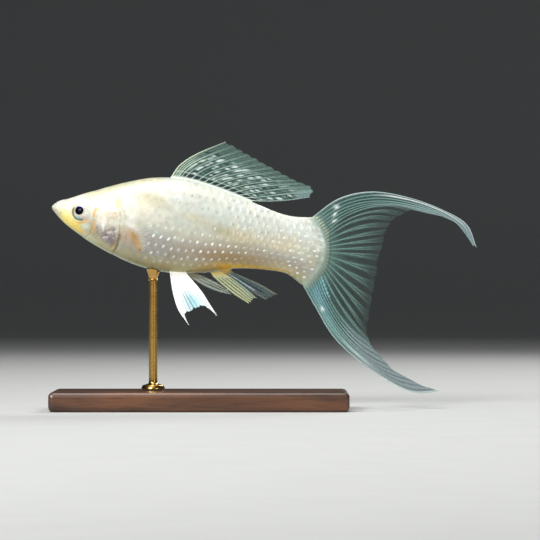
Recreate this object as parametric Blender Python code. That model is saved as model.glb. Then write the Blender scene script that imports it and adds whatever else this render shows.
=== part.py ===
"""A pale sailfin molly with a lyre tail, life size, held on a small display stand.

Each fish sub-part is drawn in the fish's own frame, in millimetres: x runs back from the
tip of the snout, z is up and -y is the fish's left side. An empty holds that frame in the
swimming pose. The stand is drawn in the world frame, whose origin is the centre of the
base's underside.
"""
import math

import bmesh
import bpy
from mathutils import Vector

MM = 0.001
GAP = 0.3                       # clearance between pieces that touch

# The pose, and where the fish hangs over the stand
PITCH = math.radians(8.0)       # the head is held a little up
SNOUT_AT = (-37.9, 0.0, 52.0)

# The body as stations (x, value), read with smooth curves
BACK = [(0, 0.05), (0.7, 0.95), (2, 2.0), (4, 2.75), (7.5, 4.45), (12, 6.45), (18, 8.95), (24, 10.9),
        (30, 11.75), (35, 11.6), (43, 10.2), (52, 8.0), (58, 6.5), (62, 6.2), (66, 6.6)]
BELLY = [(0, -0.1), (0.7, -1.1), (2, -2.3), (4, -3.8), (7.5, -5.8), (12, -8.0), (18, -10.3),
         (24, -11.9), (30, -12.5), (35, -12.3), (43, -10.7), (47, -9.4), (52, -8.6), (58, -8.3),
         (62, -8.6), (66, -10.8)]
HALF_WIDTH = [(0, 0.0), (0.7, 1.3), (2, 2.2), (4, 2.9), (7.5, 3.7), (12, 4.75), (18, 5.5),
              (24, 5.8), (30, 5.75), (35, 5.4), (43, 4.4), (52, 3.0), (58, 2.1), (62, 1.55), (66, 0.95)]
WIDEST_LEVEL = [(0, 0.0), (4, -0.3), (12, -0.5), (18, -1.0), (30, -1.0), (43, -0.6), (52, -0.6),
                (62, -1.5), (66, -2.1)]
SIDE_POWER = [(0, 0.8), (12, 0.85), (24, 1.0), (43, 1.0), (58, 0.85), (66, 0.55)]

HEAD_END = 19.2                 # the cut behind the gill opening
TRUNK_END = 52.6                # the cut behind the dorsal and anal fins
BODY_END = 66.0                 # the last scales at the top and bottom of the tail root
TAIL_BULGE = 4.5                # how far the tail root bows out between them
BULGE_START = 56.0
AROUND = 36                     # points round the body

# The eye
EYE_AT = (7.2, -0.3)
EYE_RADIUS = 2.25
EYE_DEPTH = 1.5
EYE_STANDS_OUT = 0.7

# The mouth opens on the slope above the snout's tip
MOUTH_FRONT = (0.95, 1.15)
MOUTH_CORNER = (2.3, -0.7)
MOUTH_HALF_WIDTH = 2.1
LIP_RADIUS = 0.33
LIP_APART = 0.36
LIP_SUNK = 0.06
MOUTH_LINE = 0.14
NOSTRILS = [(3.0, 0.9, 0.26), (4.2, 1.7, 0.2)]      # x, z and radius of each pit

# The gill cover, as a plate in a pocket of its own
GILL_MIDDLE = 14.7
GILL_HALF_LENGTH = 3.4
GILL_END_LENGTH = 1.0           # half length of its short upper and lower edges
GILL_TOP = math.radians(62)     # angles round the body, from the back
GILL_BOTTOM = math.radians(156)
GILL_RAISED = 0.4               # the flap's free rear edge stands off the skin
GILL_FRONT = 0.05               # its front edge is nearly flush
GILL_SUNK = 0.55

# Fins. Each guide is a ray's number and its path from root to tip, as (x, z) points.
RAY_THICK = (1.0, 0.66, 0.46)   # across a ray at its root, near its tip and at the tip
WEB_THICK = (0.6, 0.5, 0.38)    # the same for the membrane between rays
RAY_FOOT = 0.3                  # half width of a ray where it meets the membrane
FOOT_SHARE = 0.32               # and at most this share of the space to the next ray

DORSAL_RAYS = 14
DORSAL_GUIDES = [(0, [(29.3, 11.9), (31.1, 15.3), (35.0, 18.7), (41.7, 22.7)]),
                 (4, [(36.0, 11.6), (38.7, 14.1), (43.2, 16.5), (50.2, 19.4)]),
                 (9, [(43.6, 10.2), (47.8, 12.3), (53.4, 14.0), (60.6, 15.4)]),
                 (11, [(47.0, 9.3), (51.5, 10.9), (57.5, 12.7), (64.9, 14.4)]),
                 (12, [(48.6, 8.9), (53.2, 10.0), (59.2, 11.7), (65.7, 13.3)]),
                 (13, [(50.3, 8.5), (54.8, 9.1), (60.0, 10.2), (65.1, 11.7)])]
CAUDAL_RAYS = 28
CAUDAL_GUIDES = [
    (0, [(65.7, 6.5), (73.4, 13.3), (83.4, 15.6), (94.1, 14.4), (103.8, 11.8), (109.0, 5.1)]),
    (3, [(67.7, 5.6), (74.2, 11.1), (82.8, 13.8), (91.9, 13.7), (99.6, 12.1), (104.6, 9.1)]),
    (6, [(68.8, 4.2), (74.5, 8.9), (80.6, 11.7), (87.4, 12.9), (93.7, 11.9)]),
    (8, [(69.4, 3.0), (72.9, 5.3), (76.5, 7.4), (81.5, 9.0), (86.9, 9.1)]),
    (10, [(70.2, 0.6), (76.6, 2.9), (84.8, 5.5)]),
    (13, [(70.5, -1.5), (83.9, -1.1)]),
    (18, [(70.2, -6.4), (78.0, -14.1), (84.2, -20.7)]),
    (20, [(68.8, -9.2), (74.1, -16.0), (80.0, -20.8), (86.0, -23.9)]),
    (23, [(68.0, -10.0), (72.0, -15.7), (78.0, -21.9), (85.2, -26.8), (92.7, -29.4)]),
    (25, [(67.1, -10.5), (71.0, -15.7), (76.5, -21.8), (83.4, -26.8), (91.7, -30.8), (100.7, -32.3)]),
    (27, [(66.3, -10.8), (70.2, -15.8), (75.9, -22.8), (83.3, -28.1), (91.4, -32.1), (98.8, -34.2),
          (105.2, -32.8)])]
CAUDAL_PARTS = (("upper", 0, 8, 13), ("middle", 8, 20, 9), ("lower", 20, 28, 13))  # rays, steps
CAUDAL_SWAY = 2.4               # the tail's far end swings this far to one side
CAUDAL_REACH = 39.0
ANAL_RAYS = 9
ANAL_GUIDES = [(0, [(42.7, -11.2), (44.3, -12.7), (48.8, -15.5), (53.5, -17.6)]),
               (3, [(44.5, -10.6), (48.4, -11.9), (51.7, -13.6), (54.5, -15.9)]),
               (4, [(45.1, -10.3), (49.7, -12.2), (53.4, -14.3), (57.6, -16.0)]),
               (8, [(47.2, -9.6), (49.5, -10.5), (55.4, -12.2), (60.3, -14.2)])]
PELVIC_RAYS = 6
PELVIC_LEFT_GUIDES = [(0, [(32.5, -12.5), (33.2, -15.2), (34.2, -18.2), (35.9, -21.6), (39.0, -25.0)]),
                      (1, [(33.2, -12.7), (34.6, -16.6), (37.4, -22.5)]),
                      (3, [(34.4, -12.8), (36.5, -15.6), (40.6, -20.2)]),
                      (4, [(35.2, -12.8), (37.9, -15.4), (42.3, -19.5)]),
                      (5, [(36.4, -13.0), (40.6, -16.2), (43.5, -19.2), (45.7, -21.6)])]
PELVIC_RIGHT_GUIDES = [(0, [(36.4, -12.5), (38.9, -13.7), (42.0, -14.9), (45.3, -15.6), (48.7, -15.9)]),
                       (5, [(39.2, -11.8), (41.6, -12.4), (44.8, -13.5), (47.5, -14.9)])]
PELVIC_ROOT_Y = 1.5
PELVIC_SPREAD = 2.4
PECTORAL_RAYS = 9
PECTORAL_GUIDES = [(0, [(20.6, -2.7), (23.6, -1.4), (27.2, -1.0), (31.5, -2.0)]),
                   (4, [(22.2, -4.7), (25.4, -4.7), (29.2, -5.2), (33.2, -6.0)]),
                   (8, [(23.3, -6.9), (25.2, -8.0), (27.4, -9.3), (29.6, -10.5)])]
PECTORAL_SPREAD = 1.6
PECTORAL_LOWEST = -5.0          # below this level the fin no longer follows the flank inwards

# The stand
BASE_SIZE = (76.0, 34.0, 5.0)
BASE_BEVEL = 1.2
ROD_AT = -12.0
ROD_RADIUS = 1.1
ROD_FOOT_RADIUS = 3.0
ROD_FOOT_HEIGHT = 1.4
ROD_CUP_RADIUS = 1.7
ROD_CUP_HEIGHT = 2.2
ROD_SIDES = 20


def smooth(table, place):
    """Value at a place in a table of (place, value) rows, on a smooth curve through them."""
    xs = [row[0] for row in table]
    ys = [row[1] for row in table]
    place = min(max(place, xs[0]), xs[-1])
    k = max(i for i in range(len(xs) - 1) if xs[i] <= place)
    slopes = []
    for i in (k, k + 1):
        low, high = max(i - 1, 0), min(i + 1, len(xs) - 1)
        slopes.append((ys[high] - ys[low]) / (xs[high] - xs[low]))
    span = xs[k + 1] - xs[k]
    t = (place - xs[k]) / span
    return ((2 * t**3 - 3 * t**2 + 1) * ys[k] + (t**3 - 2 * t**2 + t) * span * slopes[0]
            + (3 * t**2 - 2 * t**3) * ys[k + 1] + (t**3 - t**2) * span * slopes[1])


def profile(table, x):
    """A body profile at x. It is read against the root of x, which rounds the snout."""
    return smooth([(math.sqrt(row[0]), row[1]) for row in table], math.sqrt(max(x, 0.0)))


def skin(x, angle, lift=0.0):
    """A point of the body at station x, angle round from the back towards the left (-y)."""
    if lift:
        step = 0.02
        here = skin(x, angle)
        along = skin(x + step, angle) - skin(x - step, angle)
        across = skin(x, angle + step) - skin(x, angle - step)
        return here + across.cross(along).normalized() * lift
    level = profile(WIDEST_LEVEL, x)
    up, side = math.cos(angle), math.sin(angle)
    reach = profile(BACK, x) - level if up > 0 else level - profile(BELLY, x)
    width = profile(HALF_WIDTH, x) * abs(side) ** profile(SIDE_POWER, x)
    return Vector((x + tail_bow(x, up), -math.copysign(width, side), level + reach * up))


def tail_bow(x, up):
    """How far the rings near the tail root bow backwards, at a height from -1 to 1."""
    share = max(0.0, (x - BULGE_START) / (BODY_END - BULGE_START))
    return TAIL_BULGE * share**2 * (1 - up**2)


def flank(x, z):
    """Half width of the body at station x and height z."""
    level = profile(WIDEST_LEVEL, x)
    reach = profile(BACK, x) - level if z > level else level - profile(BELLY, x)
    up = min(abs(z - level) / reach, 1.0)
    return profile(HALF_WIDTH, x) * math.sqrt(1 - up**2) ** profile(SIDE_POWER, x)


def underside(x, y):
    """Height of the belly at station x, a distance y off the midline."""
    level = profile(WIDEST_LEVEL, x)
    side = min(abs(y) / profile(HALF_WIDTH, x), 1.0) ** (1 / profile(SIDE_POWER, x))
    return level - (level - profile(BELLY, x)) * math.sqrt(1 - side**2)


def to_world(point):
    """A point of the fish's frame, in the world frame, both in millimetres."""
    c, s = math.cos(PITCH), math.sin(PITCH)
    return Vector((SNOUT_AT[0] + point[0] * c + point[2] * s, SNOUT_AT[1] + point[1],
                   SNOUT_AT[2] - point[0] * s + point[2] * c))


def finish(name, colour, roughness, metallic=0.0):
    """The sub-part's own material."""
    material = bpy.data.materials.new(name)
    material.use_nodes = True
    shader = material.node_tree.nodes["Principled BSDF"]
    shader.inputs["Base Color"].default_value = (*colour, 1.0)
    shader.inputs["Roughness"].default_value = roughness
    shader.inputs["Metallic"].default_value = metallic
    material.diffuse_color = (*colour, 1.0)
    return material


def piece(name, points, faces, material=None, parent=None):
    """A closed mesh object from points in millimetres, with its faces turned outwards."""
    mesh = bpy.data.meshes.new(name)
    mesh.from_pydata([Vector(p) * MM for p in points], [], faces)
    work = bmesh.new()
    work.from_mesh(mesh)
    bmesh.ops.recalc_face_normals(work, faces=work.faces)
    work.to_mesh(mesh)
    work.free()
    item = bpy.data.objects.new(name, mesh)
    bpy.context.scene.collection.objects.link(item)
    item.parent = parent
    if material:
        mesh.materials.append(material)
        mesh.shade_smooth()
        mesh.set_sharp_from_angle(angle=math.radians(50))
    return item


def loft(rings, first, last):
    """Points and faces of a skin over rings of equal count, closed to a point at each end."""
    points = [first] + [p for ring in rings for p in ring] + [last]
    count = len(rings[0])
    faces = []
    for i in range(count):
        j = (i + 1) % count
        faces.append((0, 1 + j, 1 + i))
        for r in range(len(rings) - 1):
            low, high = 1 + r * count, 1 + (r + 1) * count
            faces.append((low + i, low + j, high + j))
            faces.append((low + i, high + j, high + i))
        end = 1 + (len(rings) - 1) * count
        faces.append((end + i, end + j, len(points) - 1))
    return points, faces


def middle(ring):
    """The mean of a ring's points."""
    return sum(ring, Vector()) / len(ring)


def plate(outer, inner):
    """Points and faces of a plate from two matching grids, split alike on both faces."""
    rows, columns = len(outer), len(outer[0])
    points = [p for grid in (outer, inner) for row in grid for p in row]
    back = rows * columns
    faces = []
    for r in range(rows - 1):
        for c in range(columns - 1):
            a, b = r * columns + c, r * columns + c + 1
            d, e = a + columns, b + columns
            faces += [(a, b, e), (a, e, d)]
            faces += [(back + a, back + e, back + b), (back + a, back + d, back + e)]
    border = [(0, c) for c in range(columns - 1)]
    border += [(r, columns - 1) for r in range(rows - 1)]
    border += [(rows - 1, c) for c in range(columns - 1, 0, -1)]
    border += [(r, 0) for r in range(rows - 1, 0, -1)]
    for k, (r, c) in enumerate(border):
        row, column = border[(k + 1) % len(border)]
        here, there = r * columns + c, row * columns + column
        faces += [(here, back + here, back + there), (here, back + there, there)]
    return points, faces


def combine(item, others, operation):
    """Fuse the others into an item, or cut them out of it, and remove them."""
    group = bpy.data.collections.new("operands")
    bpy.context.scene.collection.children.link(group)
    for other in others:
        group.objects.link(other)
    change = item.modifiers.new(operation.lower(), "BOOLEAN")
    change.operation = operation
    change.operand_type = "COLLECTION"
    change.collection = group
    change.solver = "EXACT"
    bpy.context.view_layer.update()
    result = item.evaluated_get(bpy.context.evaluated_depsgraph_get())
    old = item.data
    item.data = bpy.data.meshes.new_from_object(result)
    item.data.name = item.name
    item.modifiers.clear()
    bpy.data.meshes.remove(old)
    for other in others:
        bpy.data.objects.remove(other)
    bpy.data.collections.remove(group)


def body_length(name, stations, material, pose, flat_start=True):
    """One length of the body, lofted over its stations, with flat or bowed ends."""
    turns = [2 * math.pi * k / AROUND for k in range(AROUND)]
    rings = [[skin(x, turn) for turn in turns] for x in stations]
    first = middle(rings[0]) if flat_start else Vector((0.0, 0.0, 0.0))
    last = middle(rings[-1])
    last.x = stations[-1] + tail_bow(stations[-1], 0.0)
    return piece(name, *loft(rings, first, last), material, pose)


def spread(start, end, count):
    """Evenly spaced values from start to end."""
    return [start + (end - start) * k / (count - 1) for k in range(count)]


def mouth_path(turn, normal_shift=0.0, outward=0.0):
    """A point along the mouth, from the left corner (-90 degrees) over the front."""
    front, corner = Vector(MOUTH_FRONT), Vector(MOUTH_CORNER)
    along = (corner - front).normalized()
    normal = Vector((-along.y, along.x))
    place = corner + (front - corner) * math.cos(turn)
    place = place - along * outward * math.cos(turn) + normal * normal_shift
    side = (MOUTH_HALF_WIDTH + outward) * math.sin(turn)
    return Vector((place.x, side, place.y))


def lip(name, shift):
    """A tapered roll along the mouth, on one side of the mouth line."""
    rings = []
    for turn in spread(-math.pi / 2, math.pi / 2, 13):
        radius = LIP_RADIUS * (0.45 + 0.55 * math.cos(turn))
        centre = mouth_path(turn, shift * (0.6 + 0.4 * math.cos(turn)), -LIP_SUNK)
        ahead = mouth_path(turn + 0.01) - mouth_path(turn - 0.01)
        side = ahead.cross(Vector((0, 1, 0)) if abs(math.cos(turn)) < 0.2 else Vector((0, 0, 1)))
        side = (side - side.project(ahead)).normalized()
        other = ahead.cross(side).normalized()
        rings.append([centre + (side * math.cos(a) + other * math.sin(a)) * radius
                      for a in spread(0, 2 * math.pi * 7 / 8, 8)])
    return piece(name, *loft(rings, middle(rings[0]), middle(rings[-1])))


def mouth_slit():
    """The thin cut between the lips."""
    half = MOUTH_LINE / 2
    depth, proud = 0.35, 0.8
    rings = []
    for turn in spread(-math.pi / 2 - 0.12, math.pi / 2 + 0.12, 15):
        rings.append([mouth_path(turn, shift, out) for shift, out in
                      ((-half, -depth), (half, -depth), (half, proud), (-half, proud))])
    return piece("mouth_slit", *loft(rings, middle(rings[0]), middle(rings[-1])))


def ball(name, centre, axis, radius, depth, segments, material=None, parent=None):
    """A flattened ball: its radius across the axis, and its half depth along it."""
    out = axis.normalized()
    right = out.orthogonal().normalized()
    over = out.cross(right)
    rings = []
    half = segments // 2
    for k in range(1, half):
        lean = math.pi * k / half
        turns = [2 * math.pi * i / segments for i in range(segments)]
        rings.append([centre + out * depth * math.cos(lean)
                      + (right * math.cos(a) + over * math.sin(a)) * radius * math.sin(lean)
                      for a in turns])
    return piece(name, *loft(rings, centre + out * depth, centre - out * depth), material, parent)


def surface(x, z, side):
    """The point of the skin at (x, z) on one side, and the way it faces there."""
    def spot(at_x, at_z):
        return Vector((at_x, side * flank(at_x, at_z), at_z))
    step = 0.05
    along = spot(x + step, z) - spot(x - step, z)
    upward = spot(x, z + step) - spot(x, z - step)
    return spot(x, z), along.cross(upward).normalized() * -side


def eye(name, side, grow=0.0, segments=20, material=None, pose=None):
    """An eye that faces as the skin does and stands a little out, or its socket with grow."""
    spot, facing = surface(*EYE_AT, side)
    centre = spot + facing * (EYE_STANDS_OUT - EYE_DEPTH)
    return ball(name, centre, facing, EYE_RADIUS + grow, EYE_DEPTH + grow, segments, material, pose)


def gill_grid(side, front_lift, rear_lift, grow=0.0):
    """A grid of points over one gill cover, at heights off the skin."""
    rows, columns = 12, 7
    turn_grow = grow / 6.0      # about the body's radius there turns the gap into an angle
    grid = []
    for r in range(rows):
        share = 2 * r / (rows - 1) - 1
        angle = GILL_TOP + (GILL_BOTTOM - GILL_TOP) * (share + 1) / 2 + share * turn_grow
        bulge = (1 - abs(share) ** 2.4) ** (1 / 2.4) if abs(share) < 1 else 0.0
        half = GILL_END_LENGTH + (GILL_HALF_LENGTH - GILL_END_LENGTH) * bulge + grow
        row = []
        lifts = spread(front_lift, rear_lift, columns)
        for x, lift in zip(spread(GILL_MIDDLE - half, GILL_MIDDLE + half, columns), lifts):
            point = skin(x, angle, lift)
            row.append(Vector((point.x, point.y * -side, point.z)))
        grid.append(row)
    return grid


def gill_cover(name, side, material=None, pose=None, grow=0.0):
    """A gill cover, or with grow the pocket that it lies in."""
    proud = 1.2 if grow else 0.0        # the pocket's cutter reaches clear of the skin
    outer = gill_grid(side, GILL_FRONT + proud, GILL_RAISED + proud, grow)
    inner = gill_grid(side, -GILL_SUNK - grow, -GILL_SUNK - grow, grow)
    return piece(name, *plate(outer, inner), material, pose)


def head(material, pose):
    """The head: snout, lips, mouth line, nostrils, eye sockets and gill pockets."""
    roots = spread(math.sqrt(0.12), math.sqrt(HEAD_END), 22)
    item = body_length("head", [root**2 for root in roots], material, pose, flat_start=False)
    item.parent = None
    combine(item, [lip("upper_lip", LIP_APART), lip("lower_lip", -LIP_APART)], "UNION")
    cutters = [mouth_slit()]
    for side in (-1, 1):
        cutters.append(gill_cover("pocket", side, grow=GAP))
        cutters.append(eye("socket", side, grow=GAP, segments=24))
        for x, z, radius in NOSTRILS:
            cutters.append(ball("pit", *surface(x, z, side), radius, radius, 8))
    combine(item, cutters, "DIFFERENCE")
    item.parent = pose
    return item


def path(points, t):
    """A point at t from 0 to 1 along a smooth curve through a few points."""
    last = len(points) - 1
    xs = [(k / last, p[0]) for k, p in enumerate(points)]
    zs = [(k / last, p[1]) for k, p in enumerate(points)]
    return Vector((smooth(xs, t), smooth(zs, t)))


def ray_point(guides, ray, t):
    """A point at t along a ray, between the two guides on either side of it."""
    k = max(i for i in range(len(guides) - 1) if guides[i][0] <= ray)
    (low, low_points), (high, high_points) = guides[k], guides[k + 1]
    share = (ray - low) / (high - low)
    return path(low_points, t).lerp(path(high_points, t), share)


def three_part(values, t):
    """A size that eases from its root value to its value near the tip, then to the tip's."""
    near_tip = 0.92
    root, near, tip = values
    if t < near_tip:
        return root + (near - root) * t / near_tip
    return near + (tip - near) * (t - near_tip) / (1 - near_tip)


def fin(name, guides, rays, steps, root, place, material, pose, web_short=0.03):
    """A fin as one plate: rays stand as ridges on the membrane, on both faces.

    rays is (first, end, guides' last ray). root gives the point where a ray starts and place
    turns an (x, z) point and t into the middle of the fin's thickness there.
    """
    first, end, last = rays
    columns = []
    for ray in range(first, end):
        if ray > 0:
            columns.append((ray, -1))
        columns.append((ray, 0))
        if ray < last:
            columns.append((ray, 1))
    outer, inner = [], []
    for ray, foot in columns:
        front, back = [], []
        for t in spread(0, 1, steps + 1):
            reach = t * (1 - web_short) if foot else t
            point = rooted(guides, ray, reach, root)
            if foot:
                beside = rooted(guides, ray + foot, reach, root)
                space = (beside - point).length
                at_split = (foot < 0 and ray == first) or (foot > 0 and ray == end - 1)
                share = 0.5 - GAP / 2 / space if at_split else min(RAY_FOOT / space, FOOT_SHARE)
                point = point.lerp(beside, max(share, 0.05))
            half = three_part(WEB_THICK if foot else RAY_THICK, t) / 2
            centre = place(point, t)
            front.append(centre - Vector((0, half, 0)))
            back.append(centre + Vector((0, half, 0)))
        outer.append(front)
        inner.append(back)
    return piece(name, *plate(outer, inner), material, pose)


def rooted(guides, ray, t, root):
    """A ray's point, with its start drawn on to the surface that it grows from."""
    start = ray_point(guides, ray, 0.0)
    return ray_point(guides, ray, t) + (root(start, ray) - start) * (1 - t) ** 2


def flat_place(point, _):
    """A fin on the midline."""
    return Vector((point.x, 0.0, point.y))


def tail_place(point, _):
    """The tail fin sways gently to one side towards its far end."""
    share = max(0.0, (point.x - BODY_END) / CAUDAL_REACH)
    return Vector((point.x, CAUDAL_SWAY * share**2, point.y))


def back_root(start, _):
    """Dorsal rays start a gap above the back."""
    return Vector((start.x, profile(BACK, start.x) + GAP))


def belly_root(start, _):
    """Anal rays start a gap below the belly."""
    return Vector((start.x, profile(BELLY, start.x) - GAP))


def pelvic_root(start, _):
    """Pelvic rays start a gap below the belly's side nearest the midline."""
    return Vector((start.x, underside(start.x, PELVIC_ROOT_Y - RAY_THICK[0] / 2) - GAP))


def flank_root(start, _):
    """Pectoral rays start where their guides say, on the flank."""
    return start


def tail_root(start, ray):
    """Tail rays start on the bowed edge of the body, a gap away from it."""
    up = 1 - 2 * ray / (CAUDAL_RAYS - 1)
    edge = skin(BODY_END, math.acos(up))
    height = (profile(BACK, BODY_END) - profile(BELLY, BODY_END)) / 2
    slope = 2 * TAIL_BULGE * up / height
    return Vector((edge.x + GAP * math.sqrt(1 + slope**2), edge.z))


def pelvic_place(side):
    """A pelvic fin hangs from beside the midline and splays outwards."""
    def place(point, t):
        return Vector((point.x, side * (PELVIC_ROOT_Y + PELVIC_SPREAD * t**1.3), point.y))
    return place


def pectoral_place(side):
    """A pectoral fin lies back along the flank and lifts off it towards its tip."""
    def place(point, t):
        wide = flank(point.x, max(point.y, PECTORAL_LOWEST))
        return Vector((point.x, side * (wide + GAP + RAY_THICK[0] / 2 + PECTORAL_SPREAD * t), point.y))
    return place


def belly_over(x, y):
    """Height in the world frame of the fish's belly above a point of the stand."""
    station = (x - SNOUT_AT[0]) / math.cos(PITCH)
    for _ in range(8):
        spot = to_world((station, y, underside(station, y)))
        station += x - spot.x
    return spot.z


def stand_base(material):
    """A low block with eased edges."""
    length, width, height = BASE_SIZE
    corners = [(x * length / 2, y * width / 2, z) for z in (0, height)
               for x, y in ((-1, -1), (1, -1), (1, 1), (-1, 1))]
    faces = [(3, 2, 1, 0), (4, 5, 6, 7)] + [(k, (k + 1) % 4, (k + 1) % 4 + 4, k + 4) for k in range(4)]
    item = piece("stand_base", corners, faces, material)
    bevel = item.modifiers.new("eased_edges", "BEVEL")
    bevel.width = BASE_BEVEL * MM
    bevel.segments = 3
    bevel.limit_method = "ANGLE"
    return item


def stand_rod(material):
    """A turned rod with a round foot and a cup whose rim follows the belly."""
    floor = BASE_SIZE[2] + GAP
    cup = belly_over(ROD_AT, 0.0) - ROD_CUP_HEIGHT
    profile_points = [(ROD_FOOT_RADIUS, floor), (ROD_FOOT_RADIUS, floor + ROD_FOOT_HEIGHT * 0.6),
                      (ROD_FOOT_RADIUS * 0.8, floor + ROD_FOOT_HEIGHT),
                      (ROD_RADIUS, floor + ROD_FOOT_HEIGHT), (ROD_RADIUS, cup)]
    turns = [2 * math.pi * k / ROD_SIDES for k in range(ROD_SIDES)]
    rings = [[Vector((ROD_AT + radius * math.cos(a), radius * math.sin(a), z)) for a in turns]
             for radius, z in profile_points]
    rim = []
    for a in turns:
        x, y = ROD_AT + ROD_CUP_RADIUS * math.cos(a), ROD_CUP_RADIUS * math.sin(a)
        rim.append(Vector((x, y, belly_over(x, y) - GAP)))
    rings.append(rim)
    top = Vector((ROD_AT, 0.0, belly_over(ROD_AT, 0.0) - GAP))
    bottom = Vector((ROD_AT, 0.0, floor))
    return piece("stand_rod", *loft(rings, bottom, top), material)


for old in list(bpy.data.objects):
    bpy.data.objects.remove(old)

POSE = bpy.data.objects.new("swimming_pose", None)
bpy.context.scene.collection.objects.link(POSE)
POSE.location = Vector(SNOUT_AT) * MM
POSE.rotation_euler = (0.0, PITCH, 0.0)

FLESH = (0.78, 0.74, 0.66)
head(finish("head", FLESH, 0.35), POSE)
body_length("torso", spread(HEAD_END + GAP, TRUNK_END, 18), finish("torso", FLESH, 0.35), POSE)
body_length("tail", spread(TRUNK_END + GAP, BODY_END, 10), finish("tail", FLESH, 0.35), POSE)

for label, toward in (("left", -1), ("right", 1)):
    gill_cover("gill_cover_" + label, toward, finish("gill_cover_" + label, (0.70, 0.66, 0.62), 0.3), POSE)
    eye("eye_" + label, toward, material=finish("eye_" + label, (0.12, 0.13, 0.14), 0.08), pose=POSE)
    fin("pectoral_fin_" + label, PECTORAL_GUIDES, (0, PECTORAL_RAYS, PECTORAL_RAYS - 1), 6, flank_root,
        pectoral_place(toward), finish("pectoral_fin_" + label, (0.72, 0.74, 0.68), 0.3), POSE)

fin("dorsal_fin", DORSAL_GUIDES, (0, DORSAL_RAYS, DORSAL_RAYS - 1), 7, back_root, flat_place,
    finish("dorsal_fin", (0.45, 0.55, 0.50), 0.3), POSE)
for part, start_ray, end_ray, along in CAUDAL_PARTS:
    fin("caudal_fin_" + part, CAUDAL_GUIDES, (start_ray, end_ray, CAUDAL_RAYS - 1), along, tail_root,
        tail_place, finish("caudal_fin_" + part, (0.50, 0.62, 0.60), 0.3), POSE)
fin("anal_fin", ANAL_GUIDES, (0, ANAL_RAYS, ANAL_RAYS - 1), 7, belly_root, flat_place,
    finish("anal_fin", (0.62, 0.60, 0.45), 0.3), POSE)
fin("pelvic_fin_left", PELVIC_LEFT_GUIDES, (0, PELVIC_RAYS, PELVIC_RAYS - 1), 7, pelvic_root,
    pelvic_place(-1), finish("pelvic_fin_left", (0.85, 0.90, 0.88), 0.3), POSE)
fin("pelvic_fin_right", PELVIC_RIGHT_GUIDES, (0, PELVIC_RAYS, PELVIC_RAYS - 1), 6, pelvic_root,
    pelvic_place(1), finish("pelvic_fin_right", (0.60, 0.62, 0.55), 0.3), POSE)

stand_base(finish("stand_base", (0.10, 0.05, 0.03), 0.4))
stand_rod(finish("stand_rod", (0.80, 0.58, 0.25), 0.25, metallic=1.0))
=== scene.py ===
# %% [markdown]
# # A pale sailfin molly on a display stand
#
# The model is a still, life-size fish, 70 mm from the snout to the root of the tail. The packed
# CAD solids give its outline and place. This lesson dresses them: one skin with a coat of
# overlapping scales, eyes, see-through fins on segmented rays, and a small stand of wood and
# brass. Everything is drawn in the fish's own frame, in millimetres, and moved into the world
# at the last moment: x runs back from the snout, z is up and -y is the fish's left side.

# %% Load the solids
import math

import bmesh
import bpy
import numpy as np
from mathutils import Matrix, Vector


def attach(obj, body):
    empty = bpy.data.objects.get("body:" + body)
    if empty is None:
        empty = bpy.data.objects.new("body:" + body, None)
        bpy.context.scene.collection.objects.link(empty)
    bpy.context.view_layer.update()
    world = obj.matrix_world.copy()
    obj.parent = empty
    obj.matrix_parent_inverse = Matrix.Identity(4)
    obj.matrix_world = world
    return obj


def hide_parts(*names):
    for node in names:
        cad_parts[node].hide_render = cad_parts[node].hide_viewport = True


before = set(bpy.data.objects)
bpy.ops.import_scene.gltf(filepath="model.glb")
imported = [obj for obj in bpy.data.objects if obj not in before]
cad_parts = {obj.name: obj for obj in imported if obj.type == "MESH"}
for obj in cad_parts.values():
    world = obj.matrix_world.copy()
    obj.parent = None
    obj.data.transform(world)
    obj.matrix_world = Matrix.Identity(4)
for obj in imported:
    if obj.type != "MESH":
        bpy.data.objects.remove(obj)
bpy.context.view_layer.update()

# %% [markdown]
# ## Small tools
#
# Four helpers serve the whole lesson. `colour` turns a hex value, as seen on a screen, into the
# linear light that shaders work with. `add` puts one node in a tree, with its settings and its
# links. `smooth` reads a small table of sizes as a smooth curve, which is how a fish's outline
# is best kept: a dozen numbers that a person can check against a ruler. `to_world` tips the
# fish's frame a little nose-up and lifts it over the stand.

# %% Colours, nodes and curves
MM = 0.001
PITCH = math.radians(8.0)           # the head is held a little up
SNOUT_AT = np.array((-37.9, 0.0, 52.0))


def colour(text):
    """Linear RGBA from an sRGB hex value."""
    parts = [int(text[k:k + 2], 16) / 255 for k in (1, 3, 5)]
    return tuple(p / 12.92 if p <= 0.04045 else ((p + 0.055) / 1.055) ** 2.4 for p in parts) + (1.0,)


def add(tree, kind, inputs=None, **settings):
    """One node with its settings; each input is a value, or a socket to link from."""
    node = tree.nodes.new(kind)
    for name, value in settings.items():
        setattr(node, name, value)
    for key, value in (inputs or {}).items():
        if isinstance(value, bpy.types.NodeSocket):
            tree.links.new(value, node.inputs[key])
        else:
            node.inputs[key].default_value = value
    return node


def smooth(table, places):
    """Values at some places in a table of (place, value, ...) rows, on smooth curves."""
    table = np.array(table, float)
    xs, ys = table[:, 0], table[:, 1:]
    places = np.clip(np.asarray(places, float), xs[0], xs[-1])
    k = np.clip(np.searchsorted(xs, places, side="right") - 1, 0, len(xs) - 2)
    low = np.maximum(np.arange(len(xs)) - 1, 0)
    high = np.minimum(np.arange(len(xs)) + 1, len(xs) - 1)
    slopes = (ys[high] - ys[low]) / (xs[high] - xs[low])[:, None]
    span = (xs[k + 1] - xs[k])[..., None]
    t = (places - xs[k])[..., None] / span
    made = ((2 * t**3 - 3 * t**2 + 1) * ys[k] + (t**3 - 2 * t**2 + t) * span * slopes[k]
            + (3 * t**2 - 2 * t**3) * ys[k + 1] + (t**3 - t**2) * span * slopes[k + 1])
    return made[..., 0] if made.shape[-1] == 1 else made


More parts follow.
